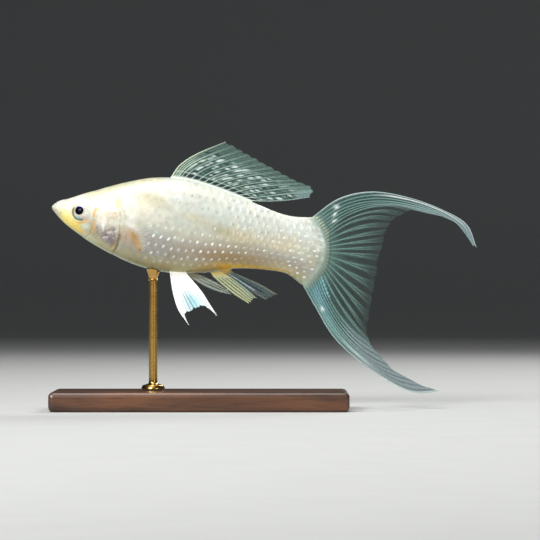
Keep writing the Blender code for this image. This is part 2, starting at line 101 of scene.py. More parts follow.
def to_world(points):
    """Points of the fish's frame in millimetres, as world points in metres."""
    points = np.asarray(points, float)
    c, s = math.cos(PITCH), math.sin(PITCH)
    x, y, z = points[..., 0], points[..., 1], points[..., 2]
    turned = np.stack((x * c + z * s, y, z * c - x * s), axis=-1)
    return (turned + SNOUT_AT) * MM


def ease(low, high, value):
    """0 below low and 1 above high, with a soft step between them."""
    t = np.clip((value - low) / (high - low), 0.0, 1.0)
    return t * t * (3 - 2 * t)


def hump(distance, width):
    """1 on a line or point, falling away softly with distance."""
    return np.exp(-(distance / width) ** 2)


print("hex #ff8000 is", [round(v, 3) for v in colour("#ff8000")])

# %% [markdown]
# ## From arrays to a mesh
#
# The body, scales and fins hold tens of thousands of points, so they are made as arrays of
# numbers, not face by face. `make_mesh` turns arrays into a mesh object and can store colours
# and numbers on its points. Materials read those later, so a marking is worked out once, in
# millimetres on the animal, and the skin and the scales over it are sure to agree.
# `thin_plate` closes two matching grids into one thin body with a rim, which every fin needs.

# %% Mesh tools
def make_mesh(name, points, faces, material=None, tints=None, numbers=None, uv=None):
    """A mesh object from points in the fish's frame and faces of 3 or 4 corners."""
    mesh = bpy.data.meshes.new(name)
    mesh.from_pydata(to_world(points), [], [tuple(face) for face in faces])
    mesh.shade_smooth()
    if tints is not None:
        layer = mesh.attributes.new("tint", "FLOAT_COLOR", "POINT")
        layer.data.foreach_set("color", np.append(tints, np.ones((len(tints), 1)), axis=1).ravel())
    for key, values in (numbers or {}).items():
        layer = mesh.attributes.new(key, "FLOAT", "POINT")
        layer.data.foreach_set("value", np.asarray(values, np.float32))
    for key, values in (uv or {}).items():
        corners = np.empty(len(mesh.loops), np.int32)
        mesh.loops.foreach_get("vertex_index", corners)
        values = values[corners] if len(values) == len(points) else values
        mesh.uv_layers.new(name=key).data.foreach_set("uv", values.ravel())
    item = bpy.data.objects.new(name, mesh)
    bpy.context.scene.collection.objects.link(item)
    if material:
        mesh.materials.append(material)
    return item


def grid_faces(rows, columns, start=0, flip=False):
    """Faces of a grid whose points are stored row by row."""
    r, c = np.mgrid[0:rows - 1, 0:columns - 1]
    a = (r * columns + c).ravel() + start
    faces = np.stack((a, a + 1, a + columns + 1, a + columns), axis=1)
    return faces[:, ::-1] if flip else faces


def thin_plate(outer, inner):
    """Points and faces of a closed plate from two matching grids of points."""
    rows, columns = outer.shape[:2]
    back = rows * columns
    border = [(0, c) for c in range(columns - 1)] + [(r, columns - 1) for r in range(rows - 1)]
    border += [(rows - 1, c) for c in range(columns - 1, 0, -1)]
    border += [(r, 0) for r in range(rows - 1, 0, -1)]
    edge = np.array([r * columns + c for r, c in border])
    after = np.roll(edge, -1)
    rim = np.stack((edge, edge + back, after + back, after), axis=1)
    faces = np.concatenate((grid_faces(rows, columns), grid_faces(rows, columns, back, True), rim))
    return np.concatenate((outer.reshape(-1, 3), inner.reshape(-1, 3))), faces


print("a 3 by 3 plate has", len(thin_plate(np.zeros((3, 3, 3)), np.zeros((3, 3, 3)))[1]), "faces")

# %% [markdown]
# ## The form of the body
#
# A molly is a spindle, flattened from side to side, deepest just before the dorsal fin. Four
# curves along its length say it all: the back, the belly, the half width, and the level where
# it is widest. They are read against the square root of x, which rounds the snout. The same
# numbers shape the solids, so the skin falls where the solids are.

# %% The body's curves
BACK = [(0, 0.05), (0.7, 0.95), (2, 2.0), (4, 2.75), (7.5, 4.45), (12, 6.45), (18, 8.95), (24, 10.9),
        (30, 11.75), (35, 11.6), (43, 10.2), (52, 8.0), (58, 6.5), (62, 6.2), (66, 6.6)]
BELLY = [(0, -0.1), (0.7, -1.1), (2, -2.3), (4, -3.8), (7.5, -5.8), (12, -8.0), (18, -10.3),
         (24, -11.9), (30, -12.5), (35, -12.3), (43, -10.7), (47, -9.4), (52, -8.6), (58, -8.3),
         (62, -8.6), (66, -10.8)]
HALF_WIDTH = [(0, 0.0), (0.7, 1.3), (2, 2.2), (4, 2.9), (7.5, 3.7), (12, 4.75), (18, 5.5),
              (24, 5.8), (30, 5.75), (35, 5.4), (43, 4.4), (52, 3.0), (58, 2.1), (62, 1.55), (66, 0.95)]
WIDEST_LEVEL = [(0, 0.0), (4, -0.3), (12, -0.5), (18, -1.0), (30, -1.0), (43, -0.6), (52, -0.6),
                (62, -1.5), (66, -2.1)]
SIDE_POWER = [(0, 0.8), (12, 0.85), (24, 1.0), (43, 1.0), (58, 0.85), (66, 0.55)]
BODY_END = 66.0                     # the last scales at the top and bottom of the tail root
TAIL_BULGE = 4.5                    # how far the tail root bows out between them
BULGE_START = 56.0
COAT_DEPTH = 0.14                   # the skin lies this far inside the solids, under the scales


def profile(table, x):
    """A body curve at x, read against the root of x."""
    return smooth([(math.sqrt(row[0]), row[1]) for row in table], np.sqrt(np.maximum(x, 0.0)))


def tail_bow(x, up):
    """How far the rings near the tail root bow backwards, at a height from -1 to 1."""
    share = np.maximum(0.0, (x - BULGE_START) / (BODY_END - BULGE_START))
    return TAIL_BULGE * share**2 * (1 - up**2)


def body(x, angle):
    """Points of the body at station x, angle round from the back towards the left (-y)."""
    level = profile(WIDEST_LEVEL, x)
    up, side = np.cos(angle), np.sin(angle)
    reach = np.where(up > 0, profile(BACK, x) - level, level - profile(BELLY, x))
    width = profile(HALF_WIDTH, x) * np.abs(side) ** profile(SIDE_POWER, x)
    return np.stack((x + tail_bow(x, up), -np.sign(side) * width, level + reach * up), axis=-1)


def flank(x, z):
    """Half width of the body at station x and height z."""
    level = profile(WIDEST_LEVEL, x)
    reach = np.where(z > level, profile(BACK, x) - level, level - profile(BELLY, x))
    up = np.minimum(np.abs(z - level) / reach, 1.0)
    return profile(HALF_WIDTH, x) * np.sqrt(1 - up**2) ** profile(SIDE_POWER, x)


def height_share(points):
    """Where points lie between the belly (-1), the widest level (0) and the back (1)."""
    x, z = np.minimum(points[..., 0], BODY_END), points[..., 2]
    level = profile(WIDEST_LEVEL, x)
    reach = np.where(z > level, profile(BACK, x) - level, level - profile(BELLY, x))
    return np.clip((z - level) / np.maximum(reach, 0.05), -1.0, 1.0)


print("deepest section in mm:", round(float(profile(BACK, 30.0) - profile(BELLY, 30.0)), 2))

# %% [markdown]
# ## The markings
#
# This strain is almost white. The back is warm white, the middle of the flank glows golden
# beige, the lower flank is a warm grey and the belly is olive, with an orange line above the
# anal fin; the darkening towards the belly is partly the fish's own colour and partly painted
# shade of the underside. The head is lemon yellow on the cheek, with an orange arc before the
# gill cover, a brown edge behind it and a violet-grey patch where the gills show through. Colour
# by height alone is a table; every other mark is either a soft patch or a soft stroke, placed in
# millimetres. Some of the white and cyan patches and strokes are painted highlights and glints,
# on the head, the flank and the tail root. `paint` adds them up for any points, whether they
# belong to skin or scale.

# %% Markings as patches and strokes
# colour by height, darker towards the belly: partly the fish's own grey and olive, partly painted shade of the
# underside
HEIGHT_COLOURS = [(-1.0, "#b3c4a6"), (-0.95, "#a4a17a"), (-0.82, "#a9a78a"), (-0.62, "#979a8d"),
                  (-0.40, "#a2a69b"), (-0.15, "#c0c6b6"), (0.10, "#ccd4c7"), (0.30, "#d1dacf"),
                  (0.55, "#dde5dd"), (1.0, "#eaefe6")]
# colour, x, z, half length, half height, tilt in degrees, strength
PATCHES = [
    # the cream patch over the forehead and nape is partly the fish's own colour, partly a painted highlight on
    # the top of the head
    ("#f6f1d8", 9.0, 3.6, 8.0, 3.0, 24, 0.85), ("#f5edd0", 5.0, -1.0, 4.0, 2.0, -20, 0.6),
    ("#fbf0a4", 5.2, -2.3, 3.2, 1.7, -38, 0.85), ("#f8e46c", 4.2, -3.0, 2.3, 1.1, -42, 0.80),
    ("#f2d860", 7.0, -4.3, 2.3, 1.05, -36, 0.85), ("#e3ac48", 8.9, -5.2, 1.4, 0.5, -34, 0.65),
    ("#d3dfc6", 9.3, -3.7, 1.2, 0.9, 0, 0.85), ("#b9bfae", 9.4, -4.6, 0.8, 0.35, -20, 0.5),
    ("#c6ccb2", 10.6, -6.5, 2.4, 0.9, -30, 0.6), ("#eeebe2", 13.4, -0.6, 1.8, 2.2, 0, 0.7),
    ("#f6fafa", 13.9, -3.0, 0.55, 1.1, 0, 0.85), ("#76737e", 15.8, -5.4, 2.0, 2.0, 20, 0.85),
    ("#bca695", 20.3, -4.9, 1.7, 2.0, 0, 0.6), ("#e6d07c", 16.9, 3.2, 0.55, 1.5, 8, 0.8),
    # the bluish white patches at x 20.8, z 0.2 and at x 22.3, z -3.0 are painted highlights behind the gill
    # cover
    ("#d9c480", 22.6, 4.3, 0.5, 0.5, 0, 0.6), ("#eef4f4", 20.8, 0.2, 0.6, 1.3, -25, 0.7),
    ("#f4f9f9", 22.3, -3.0, 1.0, 0.6, -45, 0.7), ("#fbf8f2", 24.0, -4.0, 0.5, 1.6, 10, 0.6),
    ("#8f9594", 27.5, -5.6, 5.0, 2.8, -6, 0.70), ("#a29c8e", 37.0, -6.2, 6.0, 2.2, -3, 0.5),
    ("#947d54", 43.5, -6.6, 5.0, 1.9, 2, 0.66), ("#b2b78f", 26.0, 5.2, 4.6, 1.6, -14, 0.60),
    ("#d6cfa4", 38.0, 1.6, 5.5, 1.5, -12, 0.40), ("#d6c698", 49.0, -0.8, 6.0, 1.8, -3, 0.45),
    ("#d6c59c", 60.0, -1.0, 4.5, 2.2, 0, 0.45), ("#e2a010", 45.3, -9.2, 2.0, 1.05, 0, 0.95),
    ("#fccb30", 51.5, -8.6, 6.0, 0.85, 2, 0.95), ("#e2bc5c", 58.5, -8.3, 3.8, 0.75, 2, 0.75),
    ("#c39c4a", 41.2, -9.9, 3.0, 1.0, 12, 0.65), ("#dfeae8", 67.0, 6.2, 2.2, 1.2, 30, 0.6),
    # the small white patch at x 15.8, z 1.2 is a painted highlight on the upper gill cover
    ("#b4b6a6", 15.8, 0.2, 2.6, 1.4, 0, 0.60), ("#fdfdfb", 15.8, 1.2, 0.9, 0.35, 4, 0.7),
    # the white patch at x 20.9, z -2.0 is a painted highlight above the root of the pectoral fin
    ("#f8f8f6", 20.9, -2.0, 1.9, 0.8, -30, 0.7), ("#8a9570", 65.0, -9.4, 2.4, 1.5, -30, 0.85),
    ("#9b9676", 50.0, -3.8, 8.0, 1.7, -4, 0.45), ("#a5a78c", 68.6, -3.4, 1.7, 3.2, 0, 0.60),
    # the cyan and pale green dots at x 27.7, 33.6 and 26.1 are painted glints on the flank
    ("#c9ecf0", 27.7, -2.8, 0.5, 0.5, 0, 0.8), ("#cdeeea", 33.6, -3.7, 0.5, 0.5, 0, 0.7),
    ("#d9e3b8", 26.1, -4.0, 0.35, 0.7, 0, 0.6), ("#5d5444", 12.4, -3.7, 0.24, 0.40, 0, 0.9),
    ("#5d5444", 12.6, -4.7, 0.24, 0.34, 0, 0.9), ("#6d6353", 12.9, -5.4, 0.18, 0.2, 0, 0.8),
    ("#5f6176", 16.6, -6.7, 1.2, 0.9, 40, 0.75), ("#8b7344", 49.5, -6.5, 7.5, 1.5, 2, 0.66),
    ("#a89858", 29.0, -10.9, 4.5, 0.8, 0, 0.5), ("#a8915c", 39.5, -11.3, 3.5, 0.8, 8, 0.7),
    ("#9fa3a0", 24.6, -4.6, 1.6, 2.6, 0, 0.5), ("#bf9a62", 22.3, -5.2, 2.9, 1.0, -58, 0.65),
    ("#9a9a6c", 44.2, 0.0, 2.8, 1.2, -10, 0.5)]
# colour, half width, strength, points along the stroke
STROKES = [("#dfae4a", 0.32, 0.85, [(12.1, 1.15), (11.3, 0.75), (11.1, 0.1), (11.25, -0.9)]),
           ("#d6a544", 0.40, 0.90, [(11.3, -2.0), (11.45, -3.2), (11.25, -4.5), (10.9, -5.6)]),
           ("#6f6250", 0.16, 0.65, [(11.8, -1.7), (12.1, -2.6)]),
           ("#a98e66", 0.50, 0.45, [(18.9, -2.9), (18.6, -4.6)]),
           ("#86663a", 0.42, 0.85, [(18.6, -4.8), (18.1, -6.3), (16.4, -8.2)]),
           ("#eeeace", 0.55, 0.95, [(23.0, -3.0), (23.6, -4.2), (24.1, -5.3), (24.7, -6.4)]),
           ("#c4923f", 0.50, 0.85, [(21.4, -3.4), (22.4, -4.9), (23.3, -6.4), (23.8, -7.5)]),
           ("#77624a", 0.22, 0.60, [(20.6, -3.0), (21.6, -3.9), (22.3, -5.2)]),
           ("#ecb23e", 0.34, 0.90, [(7.2, -2.95), (8.6, -2.95), (9.7, -2.3)]),
           ("#454154", 0.20, 0.95, [(13.5, -6.1), (15.0, -5.1), (17.0, -3.5)]),
           ("#454154", 0.17, 0.85, [(14.6, -4.1), (15.6, -3.7), (16.6, -2.9)]),
           ("#4c4a5e", 0.20, 0.90, [(15.0, -7.0), (16.2, -6.0), (17.2, -5.0)]),
           ("#585768", 0.17, 0.75, [(13.4, -5.0), (14.2, -4.6), (14.8, -4.3)]),
           # the two near-white strokes on the gill patch are painted highlights
           ("#f3f2f4", 0.17, 0.90, [(15.2, -4.8), (16.3, -4.2)]),
           ("#eceaf0", 0.14, 0.80, [(14.3, -5.9), (15.4, -5.5)]),
           ("#6d5f50", 0.10, 0.65, [(15.6, 0.5), (16.7, 0.6)]),
           ("#e8e2ac", 1.45, 0.70, [(9.8, 4.3), (12.9, 5.8), (17.0, 8.0), (21.5, 9.8), (26.0, 11.0)]),
           ("#a58f63", 0.10, 0.35, [(0.9, 1.15), (1.5, 0.3), (2.4, -0.8)])]
TAIL_HAZE = "#94afa6"               # the skin turns sea-grey where it runs into the tail fin
TAIL_GLINTS = [(69.5, 1.1, 0.55), (69.4, -0.9, 0.6), (69.9, -0.1, 0.35), (68.9, 2.6, 0.35)]
# small uneven flecks on the gill cover and behind it: the colours they are drawn from
FLECK_COLOURS = ("#fbfaf4", "#f6f3ea", "#cfa870", "#a9a49c", "#dcc58e", "#e9f2f2")
FLECK_COUNT = 70
FLECKS = np.random.default_rng(8).uniform((11.6, -6.6, 0.14, 0.10, -60, 0.25),
                                          (19.5, 2.2, 0.42, 0.30, 60, 0.6), (FLECK_COUNT, 6))


def line_distance(points, line):
    """Distance of each point from a line of points, with as many coordinates."""
    line = np.asarray(line, float)
    best = np.full(points.shape[:-1], np.inf)
    for start, end in zip(line[:-1], line[1:]):
        along = end - start
        t = np.clip(((points - start) @ along) / (along @ along), 0.0, 1.0)
        best = np.minimum(best, np.linalg.norm(points - start - t[..., None] * along, axis=-1))
    return best


def blend(base, text, strength):
    """Mix a hex colour over base colours by a strength for each."""
    return base + (np.array(colour(text)[:3]) - base) * strength[..., None]


def wobble(side):
    """Places shifted a little, unevenly, so that no marking has a ruled edge."""
    x, z = side[..., 0], side[..., 1]
    shift_x = 0.12 * np.sin(3.1 * x + 1.7 * z) + 0.07 * np.sin(7.3 * z - 2.2 * x + 1.0)
    shift_z = 0.12 * np.sin(2.7 * z - 2.3 * x + 2.0) + 0.07 * np.sin(6.1 * x + 3.9 * z)
    return side + np.stack((shift_x, shift_z), axis=-1)


def paint(points):
    """The fish's own colour at points of its frame, with painted shade, highlights and glints."""
    table = [(place, *colour(text)[:3]) for place, text in HEIGHT_COLOURS]
    made = smooth(table, height_share(points))
    side = wobble(points[..., (0, 2)])
    flecks = [(FLECK_COLOURS[k % len(FLECK_COLOURS)], *row) for k, row in enumerate(FLECKS)]
    for text, x, z, long, high, tilt, strength in PATCHES + flecks:
        c, s = math.cos(math.radians(tilt)), math.sin(math.radians(tilt))
        dx, dz = side[..., 0] - x, side[..., 1] - z
        away = np.hypot((dx * c + dz * s) / long, (dz * c - dx * s) / high)
        made = blend(made, text, strength * np.exp(-away**3))
    for text, width, strength, line in STROKES:
        uneven = 0.82 + 0.18 * np.sin(4.3 * side[..., 0] + 5.9 * side[..., 1])
        made = blend(made, text, strength * uneven * hump(line_distance(side, line), width))
    edge = BODY_END + TAIL_BULGE * (1 - height_share(points) ** 2) - side[..., 0]
    made = blend(made, TAIL_HAZE, 0.85 * ease(2.5, -0.4, edge))
    for x, z, size in TAIL_GLINTS:
        made = blend(made, "#fbffff", 0.9 * hump(np.hypot(side[..., 0] - x, side[..., 1] - z), size))
    return np.clip(made, 0.0, 1.0)


print("markings:", len(PATCHES), "patches and", len(STROKES), "strokes")

# %% [markdown]
# ## Living finishes
#
# A molly's whiteness is structural. Stacks of guanine crystals in the skin and in each scale
# reflect light like fine pearl, under a clear wet film. In shader terms that is a dielectric
# with a little metallic share, a thin film a few hundred nanometres thick for the faint colours,
# some scattering below the surface and a smooth clear coat. The large markings come from the
# `tint` stored on the mesh, and the shader adds what is too fine for that: mottling of about a
# millimetre, pores of a few tenths, and on each scale its bright centre, its dusky rim and the
# growth rings, which the plate's own map places.

# %% Skin and scale materials
def new_material(name, **values):
    """A material with its tree and shader; values are constants on the shader's sockets."""
    material = bpy.data.materials.new(name)
    material.use_nodes = True
    tree = material.node_tree
    shader = tree.nodes["Principled BSDF"]
    for key, value in values.items():
        shader.inputs[key.replace("_", " ")].default_value = value
    return material, tree, shader


def wire(tree, shader, **sockets):
    """Link sockets to the shader's inputs of the same names."""
    for key, socket in sockets.items():
        tree.links.new(socket, shader.inputs[key.replace("_", " ")])


PEARL = {"IOR": 1.45, "Coat_Weight": 0.6, "Coat_Roughness": 0.12, "Coat_IOR": 1.33,
         "Subsurface_Weight": 0.12, "Subsurface_Scale": 0.0012, "Thin_Film_Thickness": 280.0,
         "Thin_Film_IOR": 1.7}


def pearl_material(name, metallic):
    """Guanine-bright fish skin, with mottling and pores; returns sockets to build on."""
    material, tree, shader = new_material(name, **PEARL)
    shader.inputs["Subsurface Radius"].default_value = (1.0, 0.7, 0.5)
    place = add(tree, "ShaderNodeTexCoord").outputs["Object"]
    tint = add(tree, "ShaderNodeAttribute", attribute_name="tint").outputs["Color"]
    # mottling about 1.2 mm across, so 800 to the metre
    mottle = add(tree, "ShaderNodeTexNoise", {"Vector": place, "Scale": 800.0, "Detail": 3.0})
    shade = add(tree, "ShaderNodeMapRange", {"Value": mottle.outputs["Fac"], "From Min": 0.3,
                                             "From Max": 0.7, "To Min": 0.90, "To Max": 1.06})
    # grains of a golden and of a lilac cast, about 0.6 mm across, so 1600 to the metre
    grain = add(tree, "ShaderNodeTexNoise", {"Vector": place, "Scale": 1600.0, "Detail": 3.0})
    grain = grain.outputs["Fac"]
    # calm is 1 over the tail rays, where the skin has no grain
    calm = add(tree, "ShaderNodeAttribute", attribute_name="calm").outputs["Fac"]
    most = add(tree, "ShaderNodeMath", {0: calm, 1: -0.34, 2: 0.34}, operation="MULTIPLY_ADD").outputs[0]
    for text, low, high in (("#ccb866", 0.55, 0.75), ("#b9bdd2", 0.45, 0.25)):
        share = add(tree, "ShaderNodeMapRange", {"Value": grain, "From Min": low, "From Max": high,
                                                 "To Max": most})
        tint = add(tree, "ShaderNodeMix", {"Factor": share.outputs[0], "A": tint, "B": colour(text)},
                   data_type="RGBA").outputs["Result"]
    toned = add(tree, "ShaderNodeVectorMath", {0: tint, "Scale": shade.outputs[0]}, operation="SCALE")
    gloss = add(tree, "ShaderNodeMapRange", {"Value": mottle.outputs["Fac"], "From Min": 0.3,
                                             "From Max": 0.7, "To Min": 0.30, "To Max": 0.44})
    # pores about 0.25 mm apart, so 4000 to the metre
    pores = add(tree, "ShaderNodeTexNoise", {"Vector": place, "Scale": 4000.0, "Detail": 2.0})
    bump = add(tree, "ShaderNodeBump", {"Height": pores.outputs["Fac"], "Strength": 0.25,
                                        "Distance": 0.00004})
    wire(tree, shader, Roughness=gloss.outputs[0], Base_Color=toned.outputs[0], Normal=bump.outputs[0])
    shader.inputs["Metallic"].default_value = metallic
    return material, tree, shader, toned.outputs[0], bump


def scale_material():
    """The same pearl on a scale: a white centre, a dusky rim and growth rings."""
    material, tree, shader, tone, pores = pearl_material("pearl_scale", 0.05)
    plate = add(tree, "ShaderNodeUVMap", uv_map="plate").outputs["UV"]
    across, along, _ = add(tree, "ShaderNodeSeparateXYZ", {0: plate}).outputs
    # the rim, the last fifth of the plate's length, is dusky or bright by the scale's own number
    rim = add(tree, "ShaderNodeMapRange", {"Value": along, "From Min": 0.80, "From Max": 0.96},
              interpolation_type="SMOOTHSTEP").outputs[0]
    side = add(tree, "ShaderNodeMath", {0: across, 1: 0.5}, operation="PINGPONG").outputs[0]
    middle = add(tree, "ShaderNodeMapRange", {"Value": side, "From Min": 0.14, "From Max": 0.42}).outputs[0]
    rim = add(tree, "ShaderNodeMath", {0: rim, 1: middle}, operation="MULTIPLY").outputs[0]
    gain = add(tree, "ShaderNodeAttribute", attribute_name="rim_gain").outputs["Fac"]
    gain = add(tree, "ShaderNodeMath", {0: rim, 1: gain, 2: 1.0}, operation="MULTIPLY_ADD").outputs[0]
    rimmed = add(tree, "ShaderNodeVectorMath", {0: tone, "Scale": gain}, operation="SCALE").outputs[0]
    # a soft speck of dark pigment, or a bright dot that leans back, a little off the plate's middle
    hue = add(tree, "ShaderNodeAttribute", attribute_name="hue").outputs["Fac"]
    moved = add(tree, "ShaderNodeVectorMath", {0: hue, 1: (0.12, 0.07, 0.0), 2: plate},
                operation="MULTIPLY_ADD").outputs[0]
    for centre, size, turn, soft, key, text in (
            (0.66, (0.14, 0.115, 1.0), 0.0, 0.1, "fleck", "#9d977f"),
            (0.76, (0.125, 0.074, 1.0), -0.42, 0.4, "pearl", "#fbffff")):
        shaped = add(tree, "ShaderNodeMapping", {"Vector": moved, "Location": (0.5, centre, 0.0),
                                                 "Rotation": (0.0, 0.0, turn), "Scale": size},
                     vector_type="TEXTURE")
        away = add(tree, "ShaderNodeVectorMath", {0: shaped.outputs[0]}, operation="LENGTH")
        spot = add(tree, "ShaderNodeMapRange", {"Value": away.outputs["Value"], "From Min": 1.35,
                                                "From Max": soft}, interpolation_type="SMOOTHSTEP")
        amount = add(tree, "ShaderNodeAttribute", attribute_name=key).outputs["Fac"]
        amount = add(tree, "ShaderNodeMath", {0: spot.outputs[0], 1: amount}, operation="MULTIPLY",
                     use_clamp=True)
        rimmed = add(tree, "ShaderNodeMix", {"Factor": amount.outputs[0], "A": rimmed,
                                             "B": colour(text)}, data_type="RGBA").outputs["Result"]
    # growth rings are 0.03 mm apart on the animal; drawn 0.2 mm apart so that they show
    middle = add(tree, "ShaderNodeVectorMath", {0: plate, 1: (-0.5, -0.4, 0.0)}, operation="ADD")
    rings = add(tree, "ShaderNodeTexWave", {"Vector": middle.outputs[0], "Scale": 3.2,
                                            "Distortion": 0.6}, wave_type="RINGS",
                rings_direction="SPHERICAL")
    bump = add(tree, "ShaderNodeBump", {"Height": rings.outputs["Fac"], "Strength": 0.2,
                                        "Distance": 0.00003, "Normal": pores.outputs[0]})
    wire(tree, shader, Base_Color=rimmed, Normal=bump.outputs[0])
    return material


SKIN = pearl_material("pearl_skin", 0.05)[0]
SCALE = scale_material()
print("materials:", SKIN.name, SCALE.name)

# %% [markdown]
# ## Fin finishes
#
# A fin is a clear membrane, a few hundredths of a millimetre thick, on bony rays. The membrane
# lets most light through, so its material has an alpha, which the stored `cover` gives place by
# place: thin between the rays, milky on the rays, opaque white on the near pelvic fin. The rays
# are bone in short segments, and the dark joint between two segments falls every 0.7 mm along
# the ray, which the stored length `run` gives.

# %% Fin materials
JOINT_EVERY = 0.7       # millimetres


def membrane_material():
    """Clear fin web whose alpha and colour are stored on the mesh."""
    material, tree, shader = new_material("fin_membrane", Roughness=0.3, IOR=1.4, Coat_Weight=0.3,
                                          Coat_Roughness=0.1, Coat_IOR=1.33)
    place = add(tree, "ShaderNodeTexCoord").outputs["Object"]
    tint = add(tree, "ShaderNodeAttribute", attribute_name="tint").outputs["Color"]
    cover = add(tree, "ShaderNodeAttribute", attribute_name="cover").outputs["Fac"]
    # cloudiness about 0.7 mm across
    cloud = add(tree, "ShaderNodeTexNoise", {"Vector": place, "Scale": 1400.0, "Detail": 3.0})
    vary = add(tree, "ShaderNodeMapRange", {"Value": cloud.outputs["Fac"], "From Min": 0.3,
                                            "From Max": 0.7, "To Min": 0.82, "To Max": 1.14})
    alpha = add(tree, "ShaderNodeMath", {0: cover, 1: vary.outputs[0]}, operation="MULTIPLY",
                use_clamp=True)
    bump = add(tree, "ShaderNodeBump", {"Height": cloud.outputs["Fac"], "Strength": 0.2,
                                        "Distance": 0.00005})
    wire(tree, shader, Base_Color=tint, Alpha=alpha.outputs[0], Normal=bump.outputs[0])
    return material


def ray_material():
    """Pale bone in short segments with a darker joint between them."""
    material, tree, shader = new_material("fin_ray_bone", Roughness=0.34, IOR=1.5, Coat_Weight=0.3,
                                          Coat_Roughness=0.1, Coat_IOR=1.33)
    tint = add(tree, "ShaderNodeAttribute", attribute_name="tint").outputs["Color"]
    cover = add(tree, "ShaderNodeAttribute", attribute_name="cover").outputs["Fac"]
    run = add(tree, "ShaderNodeAttribute", attribute_name="run").outputs["Fac"]
    turns = add(tree, "ShaderNodeMath", {0: run, 1: JOINT_EVERY}, operation="DIVIDE").outputs[0]
    part = add(tree, "ShaderNodeMath", {0: turns}, operation="FRACT").outputs[0]
    joint = add(tree, "ShaderNodeMath", {0: part, 1: 0.5, 2: 0.34}, operation="COMPARE")
    shade = add(tree, "ShaderNodeMapRange", {"Value": joint.outputs[0], "To Min": 0.95, "To Max": 1.0})
    toned = add(tree, "ShaderNodeVectorMath", {0: tint, "Scale": shade.outputs[0]}, operation="SCALE")
    bump = add(tree, "ShaderNodeBump", {"Height": joint.outputs[0], "Strength": 0.1,
                                        "Distance": 0.00005})
    wire(tree, shader, Base_Color=toned.outputs[0], Alpha=cover, Normal=bump.outputs[0])
    return material


MEMBRANE = membrane_material()
RAY_BONE = ray_material()
print("materials:", MEMBRANE.name, RAY_BONE.name)

# %% [markdown]
# ## Where the fins run
#
# Each fin is kept as a few guide rays, as in the solids: a ray's number and its path from root
# to tip. Any ray between two guides lies between their paths, so `fin_point` can place a point
# anywhere in the fin from a ray number, which need not be whole, and a share `t` of the way out.

# %% Fin guides
GAP = 0.3                           # the solids keep this clearance between the fins and the body
DORSAL_GUIDES = [(0, [(29.3, 11.9), (31.1, 15.3), (35.0, 18.7), (41.7, 22.7)]),
                 (4, [(36.0, 11.6), (38.7, 14.1), (43.2, 16.5), (50.2, 19.4)]),
                 (9, [(43.6, 10.2), (47.8, 12.3), (53.4, 14.0), (60.6, 15.4)]),
                 (11, [(47.0, 9.3), (51.5, 10.9), (57.5, 12.7), (64.9, 14.4)]),
                 (12, [(48.6, 8.9), (53.2, 10.0), (59.2, 11.7), (65.7, 13.3)]),
                 (13, [(50.3, 8.5), (54.8, 9.1), (60.0, 10.2), (65.1, 11.7)])]
CAUDAL_GUIDES = [
    (0, [(65.7, 6.5), (72.0, 12.2), (80.0, 15.1), (89.3, 15.1), (98.6, 13.3), (105.8, 10.4), (109.2, 4.9)]),
    (1, [(66.2, 6.3), (72.9, 11.8), (81.0, 14.6), (90.2, 14.6), (98.9, 12.9), (105.3, 9.8), (108.3, 5.1)]),
    (3, [(67.7, 5.6), (74.2, 10.9), (82.6, 13.5), (91.6, 13.4), (99.2, 12.1), (104.2, 10.0)]),
    (4, [(68.2, 5.2), (74.4, 10.2), (82.2, 12.9), (91.4, 12.9), (100.4, 11.4)]),
    (6, [(68.8, 4.2), (74.5, 8.9), (80.6, 11.7), (86.4, 12.7), (91.4, 12.1)]),
    (8, [(69.4, 3.0), (72.9, 5.3), (76.5, 7.4), (81.5, 9.0), (86.9, 9.1)]),
    (10, [(70.2, 0.6), (76.8, 3.0), (85.6, 5.8)]),
    (13, [(70.5, -1.5), (84.8, -0.9)]),
    (18, [(70.2, -6.4), (78.0, -14.1), (84.2, -20.7)]),
    (20, [(68.8, -9.2), (74.1, -16.0), (80.0, -20.8), (86.0, -23.9)]),
    (23, [(68.0, -10.0), (72.0, -15.7), (78.0, -21.9), (85.2, -26.8), (92.7, -29.4)]),
    (25, [(67.1, -10.5), (71.0, -15.7), (76.5, -21.8), (83.4, -26.8), (91.7, -30.8), (100.7, -32.3)]),
    (27, [(66.3, -10.8), (70.2, -15.8), (75.9, -22.8), (83.3, -28.1), (91.4, -32.1), (98.8, -34.2),
          (105.2, -32.8)])]
CAUDAL_LAST = 27
CAUDAL_SWAY = 2.4                   # the tail's far end swings this far to one side
CAUDAL_REACH = 39.0
ANAL_GUIDES = [(0, [(42.7, -11.2), (44.3, -12.7), (48.8, -15.5), (53.5, -17.6)]),
               (3, [(44.5, -10.6), (48.4, -11.9), (51.7, -13.6), (54.5, -15.9)]),
               (4, [(45.1, -10.3), (49.7, -12.2), (53.4, -14.3), (57.6, -16.0)]),
               (8, [(47.2, -9.6), (49.5, -10.5), (55.4, -12.2), (60.3, -14.2)])]
PELVIC_LEFT_GUIDES = [(0, [(32.5, -12.5), (33.2, -15.2), (34.2, -18.2), (35.9, -21.6), (39.0, -25.0)]),
                      (1, [(33.2, -12.7), (34.6, -16.6), (37.4, -22.5)]),
                      (3, [(34.4, -12.8), (36.5, -15.6), (40.6, -20.2)]),
                      (4, [(35.2, -12.8), (37.9, -15.4), (42.3, -19.5)]),
                      (5, [(36.4, -13.0), (40.6, -16.2), (43.5, -19.2), (45.7, -21.6)])]
PELVIC_RIGHT_GUIDES = [(0, [(36.4, -12.5), (38.9, -13.7), (42.0, -14.9), (45.3, -15.6), (48.7, -15.9)]),
                       (5, [(38.4, -12.0), (41.2, -12.4), (44.8, -13.5), (47.5, -14.9)])]
PELVIC_ROOT_Y = 1.5
PELVIC_SPREAD = 2.4
